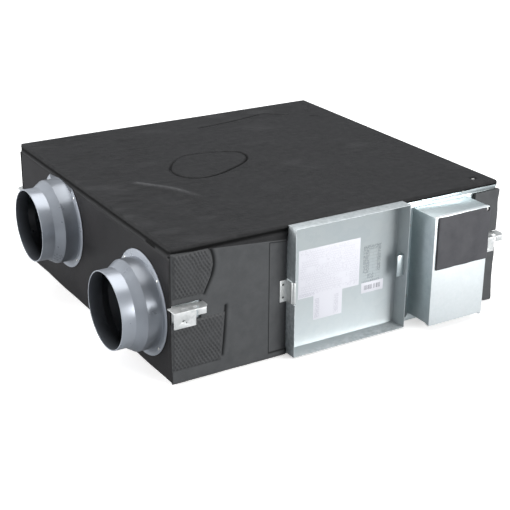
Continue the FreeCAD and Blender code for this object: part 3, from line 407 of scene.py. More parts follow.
foamDark = {"specular": 0.14, "wearColour": (0.06, 0.06, 0.06), "wear": 0.3}
materials = {
    # the top foam's tone colour is the painted highlight along the soft ridge, and pales faint
    # smears
    "topFoam": makeMaterial("foamTop", colour=(0.013, 0.013, 0.0136), second=(0.021, 0.021, 0.022),
                            rough=0.50, roughSpread=0.16, grain=1500.0, mottle=40.0,
                            stretch=(0.22, 1.0, 1.0), depth=0.0006, dust=0.03,
                            seam=0.9, tone=(0.085, 0.085, 0.088), **foamDark),
    # the side skins get a darker colour than the top sheet as painted shade, keeping the left face
    # dark under the strong left lamp
    "sideFoam": makeMaterial("foamSide", colour=(0.008, 0.0077, 0.008),
                             second=(0.013, 0.0122, 0.013), rough=0.44, roughSpread=0.2,
                             grain=1500.0, mottle=9.0, stretch=(1.0, 0.6, 1.0),
                             depth=0.00015, dust=0.02, **foamDark),
    "frontFoam": makeMaterial("foamFront", colour=(0.056, 0.058, 0.060),
                              second=(0.068, 0.070, 0.072), rough=0.66, grain=900.0,
                              mottle=40.0, depth=0.0004, dust=0.04, seam=0.9, **foamDark),
    "quiltFoam": makeMaterial("foamQuilt", colour=(0.044, 0.045, 0.046),
                              second=(0.054, 0.055, 0.057), rough=0.5, grain=900.0,
                              mottle=60.0, depth=0.0002, dust=0.04, **foamDark),
    "padFoam": makeMaterial("foamPad", colour=(0.050, 0.050, 0.055),
                            second=(0.066, 0.066, 0.071), rough=0.55, grain=1100.0,
                            mottle=28.0, depth=0.0003, dust=0.04, **foamDark),
    "steel": makeGalvanised("galvanisedSteel", colour=(0.58, 0.65, 0.66),
                            second=(0.50, 0.57, 0.59), rough=0.36, roughSpread=0.12, metal=0.9,
                            grain=700.0, depth=0.00006, wear=0.4, wearColour=(0.85, 0.88, 0.9),
                            dust=0.04),
    "lidSteel": makeGalvanised("lidSteel", colour=(0.74, 0.78, 0.79),
                               second=(0.68, 0.73, 0.74), rough=0.42, metal=0.6,
                               grain=700.0, depth=0.00006, wear=0.4,
                               wearColour=(0.85, 0.88, 0.9), dust=0.03),
    "bracketSteel": makeGalvanised("stampedSteel", colour=(0.62, 0.63, 0.62),
                                   second=(0.52, 0.54, 0.54), rough=0.4, metal=0.55,
                                   spangle=160.0, grain=700.0, depth=0.00008, wear=0.5,
                                   wearColour=(0.9, 0.9, 0.9), dust=0.04),
    "zinc": makeMaterial("zincScrew", colour=(0.60, 0.60, 0.58), rough=0.35, metal=0.45,
                         grain=900.0, depth=0.00004, wear=0.3, dust=0.03),
    # the collar's tone colour is painted shade for its bore and barrel
    "collar": makeMaterial("collarPlastic", colour=(0.34, 0.365, 0.405),
                           second=(0.36, 0.385, 0.425), rough=0.29, roughSpread=0.05,
                           metal=0.5, specular=0.5, coat=0.1, grain=900.0, mottle=22.0,
                           depth=0.00002, wear=0.3, wearColour=(0.5, 0.53, 0.57), dust=0.03,
                           tone=(0.035, 0.038, 0.044)),
    "paper": makeMaterial("exchangerPaper", colour=(0.80, 0.76, 0.64), second=(0.70, 0.66, 0.54),
                          rough=0.85, specular=0.2, grain=800.0, mottle=50.0, depth=0.0003,
                          wear=0.2, dust=0.1, tone=(0.42, 0.43, 0.44)),
    "fleece": makeMaterial("filterFleece", colour=(0.78, 0.80, 0.82), second=(0.66, 0.68, 0.70),
                           rough=0.95, specular=0.1, sheen=0.3, grain=500.0, mottle=90.0,
                           depth=0.0012, wear=0.0, dust=0.2),
    "aluminium": makeMaterial("railAluminium", colour=(0.76, 0.77, 0.78), rough=0.34, metal=0.95,
                              grain=900.0, stretch=(1.0, 0.04, 1.0), depth=0.00006, wear=0.3),
    "chamber": makeMaterial("chamberPlastic", colour=(0.52, 0.53, 0.55), rough=0.6,
                            grain=600.0, depth=0.0002, dust=0.2),
    "fanPlastic": makeMaterial("fanPlastic", colour=(0.05, 0.05, 0.055), rough=0.4, grain=700.0,
                               depth=0.0001, dust=0.15, wearColour=(0.15, 0.15, 0.15)),
    "motor": makeMaterial("motorPaint", colour=(0.07, 0.07, 0.075), rough=0.45, coat=0.1,
                          grain=500.0, depth=0.0002, wear=0.4, wearColour=(0.4, 0.4, 0.4)),
    "shaft": makeMaterial("shaftSteel", colour=(0.62, 0.62, 0.63), rough=0.22, metal=1.0,
                          grain=900.0, stretch=(1.0, 1.0, 0.05), depth=0.00003, dust=0.0),
    "white": makeMaterial("whitePlastic", colour=(0.80, 0.80, 0.77), rough=0.4, grain=500.0,
                          depth=0.0001, dust=0.1),
    "rubber": makeMaterial("grommetRubber", colour=(0.02, 0.02, 0.02), rough=0.7, grain=900.0,
                           depth=0.0002, dust=0.1, wearColour=(0.08, 0.08, 0.08)),
}
print("materials:", len(materials))

# printed patterns of the cover and its labels, made of plain bars and lines only


def flatPlace(tree):
    # x and z of the object, laid flat for the brick pattern
    split = addNode(tree, "ShaderNodeSeparateXYZ", {0: objectPlace(tree)})
    flat = addNode(tree, "ShaderNodeCombineXYZ", {0: split.outputs[0], 1: split.outputs[2]})
    return flat.outputs[0], split.outputs[0], split.outputs[2]


def within(tree, x, z, region):
    left, right, low, high = region
    mask = calc(tree, "MULTIPLY", calc(tree, "GREATER_THAN", x, left),
                calc(tree, "LESS_THAN", x, right))
    mask = calc(tree, "MULTIPLY", mask, calc(tree, "GREATER_THAN", z, low))
    return calc(tree, "MULTIPLY", mask, calc(tree, "LESS_THAN", z, high))


def bricks(tree, flat, scale, wide, high, mortar):
    # value per brick, and the lines between the bricks
    node = addNode(tree, "ShaderNodeTexBrick", {
        "Vector": flat, "Color1": (0, 0, 0, 1), "Color2": (1, 1, 1, 1),
        "Mortar": (0.5, 0.5, 0.5, 1), "Scale": scale, "Mortar Size": mortar,
        "Mortar Smooth": 0.3, "Brick Width": wide, "Row Height": high})
    value = addNode(tree, "ShaderNodeSeparateColor", {0: node.outputs["Color"]}).outputs[0]
    return value, node.outputs["Fac"]


def dashes(tree, flat, scale, share):
    # short marks in rows, with gaps, standing for small print
    value, line = bricks(tree, flat, scale, 0.35, 0.5, 0.09)
    mark = calc(tree, "GREATER_THAN", value, share)
    return calc(tree, "MULTIPLY", mark, calc(tree, "SUBTRACT", 1.0, line, clamp=True))


labels = {
    "film": (0.58, 0.58, 0.62),
    "ink": (0.26, 0.25, 0.31),
    "diagram": (-0.110, 0.042, 0.122, 0.226),
    "note": (-0.112, -0.072, 0.119, 0.127),
    "tailLeft": (-0.070, -0.058, 0.064, 0.110),
    "tailRight": (-0.020, -0.008, 0.064, 0.110),
    "bars": (0.061, 0.105, 0.100, 0.111),
    "barInk": (0.16, 0.16, 0.18),
    # scale, width, height and line width of the bricks that rule the diagram
    "wideBricks": (38.0, 0.8, 0.55, 0.012), "smallBricks": (95.0, 0.6, 0.5, 0.03),
    "smallAbove": 0.55, "marksBelow": 0.42,
    # darkness of the lines, and (scale, share left out, darkness) of the dashes
    "wideDark": 0.35, "lineDark": 0.45, "marks": (230.0, 0.62, 0.5), "print": (260.0, 0.35, 0.65),
    "barScale": 900.0,
}


def makeLabelMaterial():
    look = {**plainLook, "rough": 0.45, "specular": 0.4, "coat": 0.1, "depth": 0.00003,
            "grain": 500.0, "wear": 0.0, "dust": 0.0}
    material, tree, shader = startMaterial("labelFilm", look)
    flat, x, z = flatPlace(tree)
    grain = useGroup(tree, grainGroup, Scale=look["grain"], Mottle=25.0)
    wide, wideLines = bricks(tree, flat, *labels["wideBricks"])
    smallLines = bricks(tree, flat, *labels["smallBricks"])[1]
    lines = calc(tree, "MAXIMUM", calc(tree, "MULTIPLY", wideLines, labels["wideDark"]),
                 calc(tree, "MULTIPLY", smallLines,
                      calc(tree, "GREATER_THAN", wide, labels["smallAbove"])))
    lines = calc(tree, "MULTIPLY", lines, labels["lineDark"])
    scale, share, dark = labels["marks"]
    marks = calc(tree, "MULTIPLY", dashes(tree, flat, scale, share),
                 calc(tree, "LESS_THAN", wide, labels["marksBelow"]))
    drawn = calc(tree, "MAXIMUM", lines, calc(tree, "MULTIPLY", marks, dark))
    ink = calc(tree, "MULTIPLY", drawn, within(tree, x, z, labels["diagram"]))
    scale, share, dark = labels["print"]
    small = dashes(tree, flat, scale, share)
    for region in ("note", "tailLeft", "tailRight"):
        part = calc(tree, "MULTIPLY", small, within(tree, x, z, labels[region]))
        ink = calc(tree, "MAXIMUM", ink, calc(tree, "MULTIPLY", part, dark))
    colour = mixColour(tree, ink, solid(labels["film"]), solid(labels["ink"]))
    barNoise = addNode(tree, "ShaderNodeTexNoise",
                       {"Vector": addNode(tree, "ShaderNodeCombineXYZ", {0: x}).outputs[0],
                        "Scale": labels["barScale"], "Detail": 0.0}).outputs["Fac"]
    bars = calc(tree, "MULTIPLY", calc(tree, "GREATER_THAN", barNoise, 0.5),
                within(tree, x, z, labels["bars"]))
    colour = mixColour(tree, bars, colour, solid(labels["barInk"]))
    rough = remap(tree, grain.outputs["Mottle"], 0.3, 0.7, 0.38, 0.52)
    endMaterial(tree, shader, look, colour, rough, grain.outputs["Height"])
    return material


coverPrint = {
    "ink": (0.05, 0.06, 0.065),
    "columnLeft": (0.056, 0.072, 0.140, 0.205),
    "columnRight": (0.094, 0.103, 0.140, 0.206),
    "rows": (0.058, 0.104, 0.196, 0.206),
    "middle": (0.068, 0.086, 0.126, 0.138),
    "foot": (0.054, 0.102, 0.117, 0.123),
    "frame": (0.056, 0.104, 0.118, 0.207),
    # (scale, share left out, darkness) of the dashes, and the ruled lines between them
    "print": (210.0, 0.3, 0.75), "ruling": (60.0, 1.1, 0.45, 0.02), "ruleDark": 0.35,
}


def makeCoverMaterial():
    look = {**plainLook, "colour": (0.42, 0.455, 0.46), "second": (0.37, 0.41, 0.425),
            "rough": 0.38, "roughSpread": 0.1, "metal": 0.38, "spangle": 55.0, "grain": 700.0,
            "depth": 0.00006, "wear": 0.4, "wearColour": (0.85, 0.88, 0.9), "dust": 0.03}
    material, tree, shader = startMaterial("coverSteel", look)
    colour, rough = spangledColour(tree, look)
    flat, x, z = flatPlace(tree)
    scale, share, dark = coverPrint["print"]
    small = dashes(tree, flat, scale, share)
    ink = None
    for region in ("columnLeft", "columnRight", "rows", "middle", "foot"):
        part = calc(tree, "MULTIPLY", small, within(tree, x, z, coverPrint[region]))
        ink = part if ink is None else calc(tree, "MAXIMUM", ink, part)
    rules = bricks(tree, flat, *coverPrint["ruling"])[1]
    ruled = calc(tree, "MULTIPLY", calc(tree, "MULTIPLY", rules, coverPrint["ruleDark"]),
                 within(tree, x, z, coverPrint["frame"]))
    ink = calc(tree, "MAXIMUM", calc(tree, "MULTIPLY", ink, dark), ruled)
    colour = mixColour(tree, ink, colour, solid(coverPrint["ink"]))
    grain = useGroup(tree, grainGroup, Scale=look["grain"], Mottle=look["mottle"])
    endMaterial(tree, shader, look, colour, rough, grain.outputs["Height"])
    return material


board = {"green": (0.02, 0.16, 0.08), "track": (0.10, 0.34, 0.18), "trackShare": 0.6,
         "tracks": (120.0, 0.9, 0.35, 0.06), "rough": (0.22, 0.4)}


def makeBoardMaterial():
    look = {**plainLook, "rough": 0.3, "coat": 0.4, "depth": 0.0001, "grain": 300.0,
            "wear": 0.1, "dust": 0.1}
    material, tree, shader = startMaterial("boardGreen", look)
    grain = useGroup(tree, grainGroup, Scale=look["grain"], Mottle=60.0)
    tracks = bricks(tree, flatPlace(tree)[0], *board["tracks"])[1]
    colour = mixColour(tree, calc(tree, "MULTIPLY", tracks, board["trackShare"]),
                       solid(board["green"]), solid(board["track"]))
    rough = remap(tree, grain.outputs["Mottle"], 0.3, 0.7, *board["rough"])
    endMaterial(tree, shader, look, colour, rough, grain.outputs["Height"])
    return material


materials["label"] = makeLabelMaterial()
materials["cover"] = makeCoverMaterial()
materials["board"] = makeBoardMaterial()
print("printed materials made")

# mesh helpers

flatLimit = math.radians(1.0)
mergeDistance = 4e-6


def camel(name):
    first, *rest = name.split("_")
    return first + "".join(word.capitalize() for word in rest)


def mergedCopy(node):
    # a CAD node's mesh as closed faces without the tessellation's spare edges
    work = bmesh.new()
    work.from_mesh(nodes[node].data)
    bmesh.ops.remove_doubles(work, verts=work.verts, dist=mergeDistance)
    return work


def makePiece(mesh, name, body, material, replaced, smoothAngle=32.0):
    mesh.name = name
    mesh.materials.clear()
    mesh.materials.append(material)
    mesh.polygons.foreach_set("use_smooth", [True] * len(mesh.polygons))
    mesh.set_sharp_from_angle(angle=math.radians(smoothAngle))
    piece = placeObject(name, mesh)
    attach(piece, body)
    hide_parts(*replaced)
    return piece


def meshFrom(work, name):
    mesh = bpy.data.meshes.new(name)
    work.to_mesh(mesh)
    work.free()
    return mesh


def softenEdges(work, radius, segments=2, above=30.0):
    bmesh.ops.dissolve_limit(work, angle_limit=flatLimit, verts=work.verts[:],
                             edges=work.edges[:], delimit=set())
    edges = [e for e in work.edges
             if e.is_manifold and e.calc_face_angle(0.0) > math.radians(above)]
    bmesh.ops.bevel(work, geom=edges, offset=radius, offset_type="OFFSET", segments=segments,
                    profile=0.5, affect="EDGES", clamp_overlap=True, material=-1)


def roundedNode(node, material, radius, segments=2):
    # the CAD shape with its folds and cut edges rounded
    work = mergedCopy(node)
    softenEdges(work, radius, segments)
    mesh = meshFrom(work, camel(node))
    makePiece(mesh, camel(node), nodes[node]["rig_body"], material, [node])


def voxelMesh(node, voxel):
    mesh = meshFrom(mergedCopy(node), "softCore")
    helper = placeObject("softHelper", mesh)
    remesh = helper.modifiers.new("even", "REMESH")
    remesh.mode = "VOXEL"
    remesh.voxel_size = voxel
    helper.update_tag()
    graph = bpy.context.evaluated_depsgraph_get()
    made = bpy.data.meshes.new_from_object(helper.evaluated_get(graph))
    bpy.data.objects.remove(helper)
    return made


def readPoints(mesh):
    points = np.zeros(len(mesh.vertices) * 3, np.float32)
    mesh.vertices.foreach_get("co", points)
    return points.reshape(-1, 3).astype(float)


def readNormals(mesh):
    normals = np.zeros(len(mesh.vertices) * 3, np.float32)
    mesh.vertices.foreach_get("normal", normals)
    return normals.reshape(-1, 3).astype(float)


def writePoints(mesh, points):
    mesh.vertices.foreach_set("co", points.astype(np.float32).ravel())
    mesh.update()


def waves(points, length, seed, stretch=(1.0, 1.0, 1.0), count=14):
    # smooth random height from crossing waves, about -1 to 1
    pick = random.Random(seed)
    scaled = points * np.array(stretch)
    total = np.zeros(len(points))
    for _ in range(count):
        direction = np.array([pick.gauss(0, 1) for _ in range(3)])
        direction /= np.linalg.norm(direction)
        turn = 2 * math.pi / (length * pick.uniform(0.7, 1.5))
        total += np.sin(scaled @ direction * turn + pick.uniform(0, 2 * math.pi))
    return total / math.sqrt(count)


def smoothStep(value, low, high):
    t = np.clip((value - low) / (high - low), 0.0, 1.0)
    return t * t * (3.0 - 2.0 * t)


def lineDistance(points, line):
    # distance of each point from a line through the given corners
    best = np.full(len(points), 1e9)
    for start, end in zip(line[:-1], line[1:]):
        run = end - start
        share = np.clip((points - start) @ run / max(run @ run, 1e-12), 0.0, 1.0)
        best = np.minimum(best, np.linalg.norm(points - start - share[:, None] * run, axis=1))
    return best


def smoothLine(corners, closed=False, steps=10):
    points = [np.array(c, float) for c in corners]
    count = len(points)
    made = []
    spans = count if closed else count - 1
    for i in range(spans):
        before = points[i - 1] if closed or i > 0 else points[0]
        a = points[i]
        b = points[(i + 1) % count]
        after = points[(i + 2) % count] if closed or i + 2 < count else points[-1]
        for s in range(steps):
            t = s / steps
            made.append(0.5 * ((2 * a) + (b - before) * t
                               + (2 * before - 5 * a + 4 * b - after) * t * t
                               + (3 * a - before - 3 * b + after) * t ** 3))
    made.append(points[0] if closed else points[-1])
    return np.array(made)


def groove(distance, width):
    return np.exp(-((distance / width) ** 2))


# top foam sheet with its hanging edge

topFoam = {
    "pitchX": 0.008, "pitchY": 0.0024,
    "edgeRadius": 0.008, "edgeSteps": 6, "cornerRadius": 0.013,
    "skirtSteps": 6, "thick": 0.003, "inward": 0.0135,
    "skirtThick": 0.0046,
    "coverLip": 0.0017,       # clear height left for the cover below the sheet
    "frontSkirtEnd": -0.1483,
    "sideSkirtLow": 0.280,
    # lower edge of the hanging strip at the front, (x, z)
    "stripLine": ((-0.425, 0.2885), (-0.320, 0.2835), (-0.148, 0.2680)),
    "ripple": 0.00065, "rippleLength": 0.0085, "rippleTilt": 0.28, "rippleWander": 0.010,
    "swell": 0.0010, "swellLength": 0.21,
    "refine": 0.010,
    # curved cut in the middle, (x, y, depth)
    "ring": ((-0.196, 0.030, 1.0), (-0.185, -0.041, 1.0), (-0.123, -0.054, 1.0),
             (-0.009, 0.002, 1.0), (0.013, 0.072, 0.9), (-0.060, 0.106, 0.35),
             (-0.133, 0.103, 0.3)),
    "ringDepth": 0.0034, "ringWidth": 0.0026,
    "ringMiddle": (-0.089, 0.025), "ringReach": (0.105, 0.075), "ringPuff": 0.0005,
    # raised lip beside every cut
    "lip": 0.0006, "lipAway": 0.007, "lipWidth": 0.005,
    "slit": ((0.029, 0.301), (0.135, 0.313), (0.237, 0.339), (0.246, 0.340), (0.301, 0.300)),
    "slitEnd": ((0.348, 0.259), (0.363, 0.240)),
    "fold": ((0.366, 0.304), (0.400, 0.346)),
    # depth and width of each cut and fold
    "cuts": (("slit", 0.0022, 0.0020), ("slitEnd", 0.0018, 0.0022), ("fold", 0.0010, 0.0030)),
    "knot": (0.241, 0.340), "knotDepth": 0.0015, "knotWidth": 0.005,
    # the sheet is pressed down round the screw near the front right corner
    "screw": ((0.3795, -0.368), (0.3805, -0.368)), "screwDent": 0.0028, "screwReach": 0.0072,
    # soft ridge: its line, height, steepest way down, and width before and behind
    "bulge": ((-0.307, -0.022), (-0.254, -0.098), (-0.228, -0.182)),
    "bulgeHeight": 0.0052, "bulgeDown": (0.9, 0.5), "bulgeWidths": (0.028, 0.013),
    "hollow": (-0.205, -0.140), "hollowDepth": 0.0016, "hollowWidth": 0.030,
    "edgeFade": 0.02,
    # hanging strip: waviness, the pinch below the rolled edge, the slot at the left
    "wobble": 0.0004, "wobbleLength": 0.05,
    "pinch": 0.0030, "pinchBelow": 0.0022, "pinchWidth": 0.0030,
    "slotDepth": 0.0028, "slotWidth": 0.0026,
    "sideSlot": ((-0.425, -0.338, 0.282), (-0.425, -0.305, 0.282)),
    "port": (0.139, 0.1852), "portClear": 0.1005,
    # painted shade, the painted ridge highlight and faint smears in the colour
    "rimDark": 1.3, "rimBelow": 0.0015, "rimWidth": 0.0050, "slotDark": 0.0045,
    "ringDark": 0.0028, "cutShare": 0.8, "cutDark": 0.0022,
    "shine": 0.8, "shineWidth": 0.0065, "smear": 0.16,
}


def stripLow(x):
    xs, zs = zip(*topFoam["stripLine"])
    return np.interp(x, xs, zs)


def makeTopFoam():
    low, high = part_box("top_foam")
    edge = topFoam["edgeRadius"]
    half = Vector(((high.x - low.x) / 2 - edge, (high.y - low.y) / 2 - edge))
    middle = Vector(((high.x + low.x) / 2, (high.y + low.y) / 2))
    work = bmesh.new()
    bmesh.ops.create_grid(work, x_segments=round(2 * half.x / topFoam["pitchX"]),
                          y_segments=round(2 * half.y / topFoam["pitchY"]), size=1.0)
    bmesh.ops.scale(work, vec=(half.x, half.y, 1.0), verts=work.verts)
    bmesh.ops.translate(work, vec=(middle.x, middle.y, high.z), verts=work.verts)

    # finer faces round the cuts and folds
    marks = [np.array([c[:2] for c in topFoam[k]]) for k in ("slit", "slitEnd", "fold", "screw")]
    ringFine = smoothLine([c[:2] for c in topFoam["ring"]], closed=True)
    marks.append(ringFine)
    faces = list(work.faces)
    centres = np.array([f.calc_center_median()[:2] for f in faces])
    near = np.min([lineDistance(centres, m) for m in marks], axis=0) < topFoam["refine"]
    edges = {e for f, close in zip(faces, near) if close for e in f.edges}
    bmesh.ops.subdivide_edges(work, edges=list(edges), cuts=2, use_grid_fill=True)

    def grow(rimEdges, move):
        made = bmesh.ops.extrude_edge_only(work, edges=rimEdges)["geom"]
        verts = [g for g in made if isinstance(g, bmesh.types.BMVert)]
        for v in verts:
            move(v)
        return [g for g in made if isinstance(g, bmesh.types.BMEdge)]

    def outward(v):
        # which of the four edges the vertex lies on, as a direction
        dx = 1.0 if abs(v.co.x - middle.x) > half.x - 1e-6 else 0.0
        dy = 1.0 if abs(v.co.y - middle.y) > half.y - 1e-6 else 0.0
        return Vector((math.copysign(dx, v.co.x - middle.x),
                       math.copysign(dy, v.co.y - middle.y), 0.0))

    # rolled edge: a quarter round in steps
    ring = [e for e in work.edges if e.is_boundary]
    for step in range(topFoam["edgeSteps"]):
        a0 = math.pi / 2 * step / topFoam["edgeSteps"]
        a1 = math.pi / 2 * (step + 1) / topFoam["edgeSteps"]
        out = edge * (math.sin(a1) - math.sin(a0))
        down = edge * (math.cos(a0) - math.cos(a1))
        ring = grow(ring, lambda v: setattr(v, "co", v.co + outward(v) * out
                                            - Vector((0, 0, down))))
    skirtTop = high.z - edge

    def lowerEdge(v):
        front = v.co.y < low.y + 0.004
        if front and v.co.x > topFoam["frontSkirtEnd"]:
            return None
        return float(stripLow(v.co.x)) if front else topFoam["sideSkirtLow"]

    steps = topFoam["skirtSteps"]
    for step in range(1, steps + 1):
        def drop(v, share=step / steps):
            bottom = lowerEdge(v)
            if bottom is None:
                bottom = skirtTop - 0.0004 * steps
            v.co.z = skirtTop + (bottom - skirtTop) * share
        ring = grow(ring, drop)

    # round the lower edge and come back in behind it
    def tuckIn(distance, up):
        def move(v):
            v.co -= outward(v) * distance
            v.co.z += up
        return move

    ring = grow(ring, tuckIn(topFoam["skirtThick"], 0.0))

    def toUnderside(v):
        overCover = v.co.y < low.y + 0.02 and abs(v.co.x) < 0.1505
        v.co.z = high.z - (topFoam["coverLip"] if overCover else topFoam["thick"]) + 0.00005

    ring = grow(ring, toUnderside)
    ring = grow(ring, tuckIn(topFoam["inward"] - topFoam["skirtThick"], 0.0))
    bmesh.ops.edgeloop_fill(work, edges=ring)

    # rounded upright corners
    r = topFoam["cornerRadius"]
    cornerX, cornerY = high.x - middle.x - r, high.y - middle.y - r
    for v in work.verts:
        u = abs(v.co.x - middle.x) - cornerX
        w = abs(v.co.y - middle.y) - cornerY
        if u > 0 and w > 0:
            a, b = u / r, w / r
            v.co.x = middle.x + math.copysign(cornerX + r * a * math.sqrt(1 - b * b / 2),
                                              v.co.x - middle.x)
            v.co.y = middle.y + math.copysign(cornerY + r * b * math.sqrt(1 - a * a / 2),
                                              v.co.y - middle.y)
    bmesh.ops.recalc_face_normals(work, faces=work.faces)
    mesh = meshFrom(work, "topSheet")
    shapeTopFoam(mesh, low, high, skirtTop, ringFine)
    piece = makePiece(mesh, "topSheet", "casing", materials["topFoam"],
                      ["top_foam"], smoothAngle=50.0)


def foamLip(away):
    return topFoam["lip"] * groove(np.abs(away - topFoam["lipAway"]), topFoam["lipWidth"])


def awayFrom(flat, spot):
    return np.linalg.norm(flat - np.array(spot), axis=1)


def shapeTopFoam(mesh, low, high, skirtTop, ringFine):
    points = readPoints(mesh)
    flat = points[:, :2]
    top = smoothStep(points[:, 2], high.z - 0.0035, high.z - 0.0002)
    top *= (points[:, 2] > high.z - topFoam["edgeRadius"] - 1e-4)

    # fine ripples along the sheet, strongest at the left
    level = points * [1, 1, 0]
    left = 0.25 + 0.75 * smoothStep(-flat[:, 0], -0.02, 0.30)
    tilt = topFoam["rippleTilt"] * flat[:, 0] + topFoam["rippleWander"] * waves(level, 0.22, 3)
    across = np.column_stack([flat[:, 0] * 0.10, flat[:, 1] + tilt, np.zeros(len(points))])
    ripples = waves(across, topFoam["rippleLength"], 11, count=16)
    patches = 0.35 + 0.65 * smoothStep(waves(level, 0.12, 5), -0.6, 0.9)
    height = topFoam["ripple"] * left * patches * ripples
    height += topFoam["swell"] * waves(level, topFoam["swellLength"], 7)

    # the curved cut, with its two ends shallower
    ringDepth = np.array([c[2] for c in topFoam["ring"]])
    corners = np.array([c[:2] for c in topFoam["ring"]])
    reach = np.linalg.norm(flat[:, None, :] - corners[None], axis=2)
    weight = 1.0 / (reach ** 2 + 1e-6)
    share = (weight * ringDepth).sum(axis=1) / weight.sum(axis=1)
    ringAway = lineDistance(flat, ringFine)
    height -= topFoam["ringDepth"] * share * groove(ringAway, topFoam["ringWidth"])
    height += share * foamLip(ringAway)
    inside = np.linalg.norm((flat - topFoam["ringMiddle"]) / topFoam["ringReach"], axis=1) < 1.0
    height += topFoam["ringPuff"] * inside * groove(ringAway, 0.03)

    for key, depth, width in topFoam["cuts"]:
        away = lineDistance(flat, np.array(topFoam[key], float))
        height += foamLip(away) - depth * groove(away, width)
    height -= topFoam["knotDepth"] * groove(awayFrom(flat, topFoam["knot"]),
                                            topFoam["knotWidth"])

    # soft ridge near the front left, falling away to the front
    ridgeAway = lineDistance(flat, smoothLine(topFoam["bulge"]))
    side = (flat - topFoam["bulge"][1]) @ np.array(topFoam["bulgeDown"])
    height += topFoam["bulgeHeight"] * groove(ridgeAway,
                                              np.where(side < 0, *topFoam["bulgeWidths"]))
    height -= topFoam["hollowDepth"] * groove(awayFrom(flat, topFoam["hollow"]),
                                              topFoam["hollowWidth"])
    screwAway = lineDistance(flat, np.array(topFoam["screw"]))
    screwShare = 1.0 - smoothStep(screwAway, topFoam["screwReach"], topFoam["screwReach"] + 0.003)
    height = height * (1.0 - screwShare) - topFoam["screwDent"] * screwShare
    fadeX = smoothStep(high.x - np.abs(flat[:, 0]), 0.0, topFoam["edgeFade"])
    fadeY = smoothStep(high.y - np.abs(flat[:, 1]), 0.0, topFoam["edgeFade"])
    points[:, 2] += height * top * np.minimum(fadeX, fadeY)

    strip = (points[:, 2] < skirtTop + 1e-4) & (points[:, 2] > 0.2)
    slot = lineDistance(points, np.array(topFoam["sideSlot"], float))
    atLeft = points[:, 0] < 0
    dent = topFoam["pinch"] * groove(points[:, 2] - (skirtTop - topFoam["pinchBelow"]),
                                     topFoam["pinchWidth"])
    dent += topFoam["slotDepth"] * groove(slot, topFoam["slotWidth"]) * atLeft
    dent += np.abs(topFoam["wobble"] * waves(points, topFoam["wobbleLength"], 21))
    outer = [strip & (np.abs(points[:, axis]) > high[axis] - 0.0012) for axis in (0, 1)]
    for axis in (0, 1):
        points[outer[axis], axis] -= (np.sign(points[:, axis]) * dent)[outer[axis]]

    # the left strip gives way to the higher collar's barrel
    away = points[:, 1:] - np.array(topFoam["port"])
    reach = np.linalg.norm(away, axis=1)
    hit = strip & (reach < topFoam["portClear"]) & (points[:, 0] < low.x + 0.008)
    grown = away[hit] / reach[hit, None] * topFoam["portClear"]
    points[hit, 1:] = grown + np.array(topFoam["port"])
    writePoints(mesh, points)

    # painted shade below the rolled edge, in the slot and in the cuts
    rim = groove(points[:, 2] - (skirtTop - topFoam["rimBelow"]), topFoam["rimWidth"])
    rimX = smoothStep(np.abs(points[:, 0]), high.x - 0.006, high.x - 0.003)
    rimY = smoothStep(np.abs(points[:, 1]), high.y - 0.006, high.y - 0.003)
    dark = topFoam["rimDark"] * rim * np.maximum(rimX, rimY)
    dark += groove(slot, topFoam["slotDark"]) * (points[:, 0] < 0)
    cuts = share * groove(ringAway, topFoam["ringDark"])
    for key in ("slit", "slitEnd"):
        away = lineDistance(flat, np.array(topFoam[key]))
        cuts = np.maximum(cuts, topFoam["cutShare"] * groove(away, topFoam["cutDark"]))
    writeShare(mesh, "seam", np.maximum(dark, cuts * top))
    # painted highlight along the ridge, and faint paler smears
    shine = topFoam["shine"] * groove(ridgeAway, topFoam["shineWidth"])
    shine *= smoothStep(flat[:, 1], -0.19, -0.10)
    smears = waves(points * [0.35, 1, 0], 0.06, 9) * waves(points * [1, 1, 0], 0.25, 13)
    smears = topFoam["smear"] * smoothStep(smears, 0.2, 2.2)
    writeShare(mesh, "tone", np.maximum(shine, smears) * top)


def writeShare(mesh, name, values):
    attribute = mesh.attributes.new(name, "FLOAT", "POINT")
    attribute.data.foreach_set("value", np.clip(values, 0.0, 1.0).astype(np.float32))


makeTopFoam()
print("top foam made")

# foam skins of the four sides

skinSink = 0.8      # share of the swell that the skin is drawn in by
skinSpread = 0.0012
skins = {
    "left_foam": {"voxel": 0.0032, "material": "sideFoam", "swell": 0.0005, "length": 0.16},
    "right_foam": {"voxel": 0.0032, "material": "sideFoam", "swell": 0.0005, "length": 0.16},
    "rear_foam": {"voxel": 0.0034, "material": "sideFoam", "swell": 0.0005, "length": 0.16},
    "front_right_foam": {"voxel": 0.0018, "material": "frontFoam", "swell": 0.0005,
                         "length": 0.05},
    "control_box_pad": {"voxel": 0.0018, "material": "padFoam", "swell": 0.0005, "length": 0.05},
    "cover_seal": {"voxel": 0.0018, "material": "sideFoam", "swell": 0.0002, "length": 0.03},
}


def makeSkin(node, shape=None):
    look = skins[node]
    mesh = voxelMesh(node, look["voxel"])
    points, normals = readPoints(mesh), readNormals(mesh)
    height = look["swell"] * waves(points, look["length"], len(node))
    low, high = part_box(node)
    points += normals * (height - look["swell"] * skinSink)[:, None]
    if shape:
        shape(points, low, high)
    points = np.clip(points, np.array(low) - skinSpread, np.array(high) + skinSpread)
    writePoints(mesh, points)
    piece = makePiece(mesh, camel(node), "casing", materials[look["material"]],
                      [node], smoothAngle=60.0)


def flarePad(points, low, high):
    # the lower end of the pad at the right stands away from the casing
    share = smoothStep(low.z + 0.05 - points[:, 2], 0.0, 0.05)
    share *= smoothStep(points[:, 0], low.x + 0.02, high.x)
    points[:, 0] += 0.0010 * share
    points[:, 1] -= 0.0020 * share


for node in skins:
    makeSkin(node, flarePad if node == "front_right_foam" else None)
print("foam skins made")

# front foam left of the cover, with the grooves beside its quilted patches

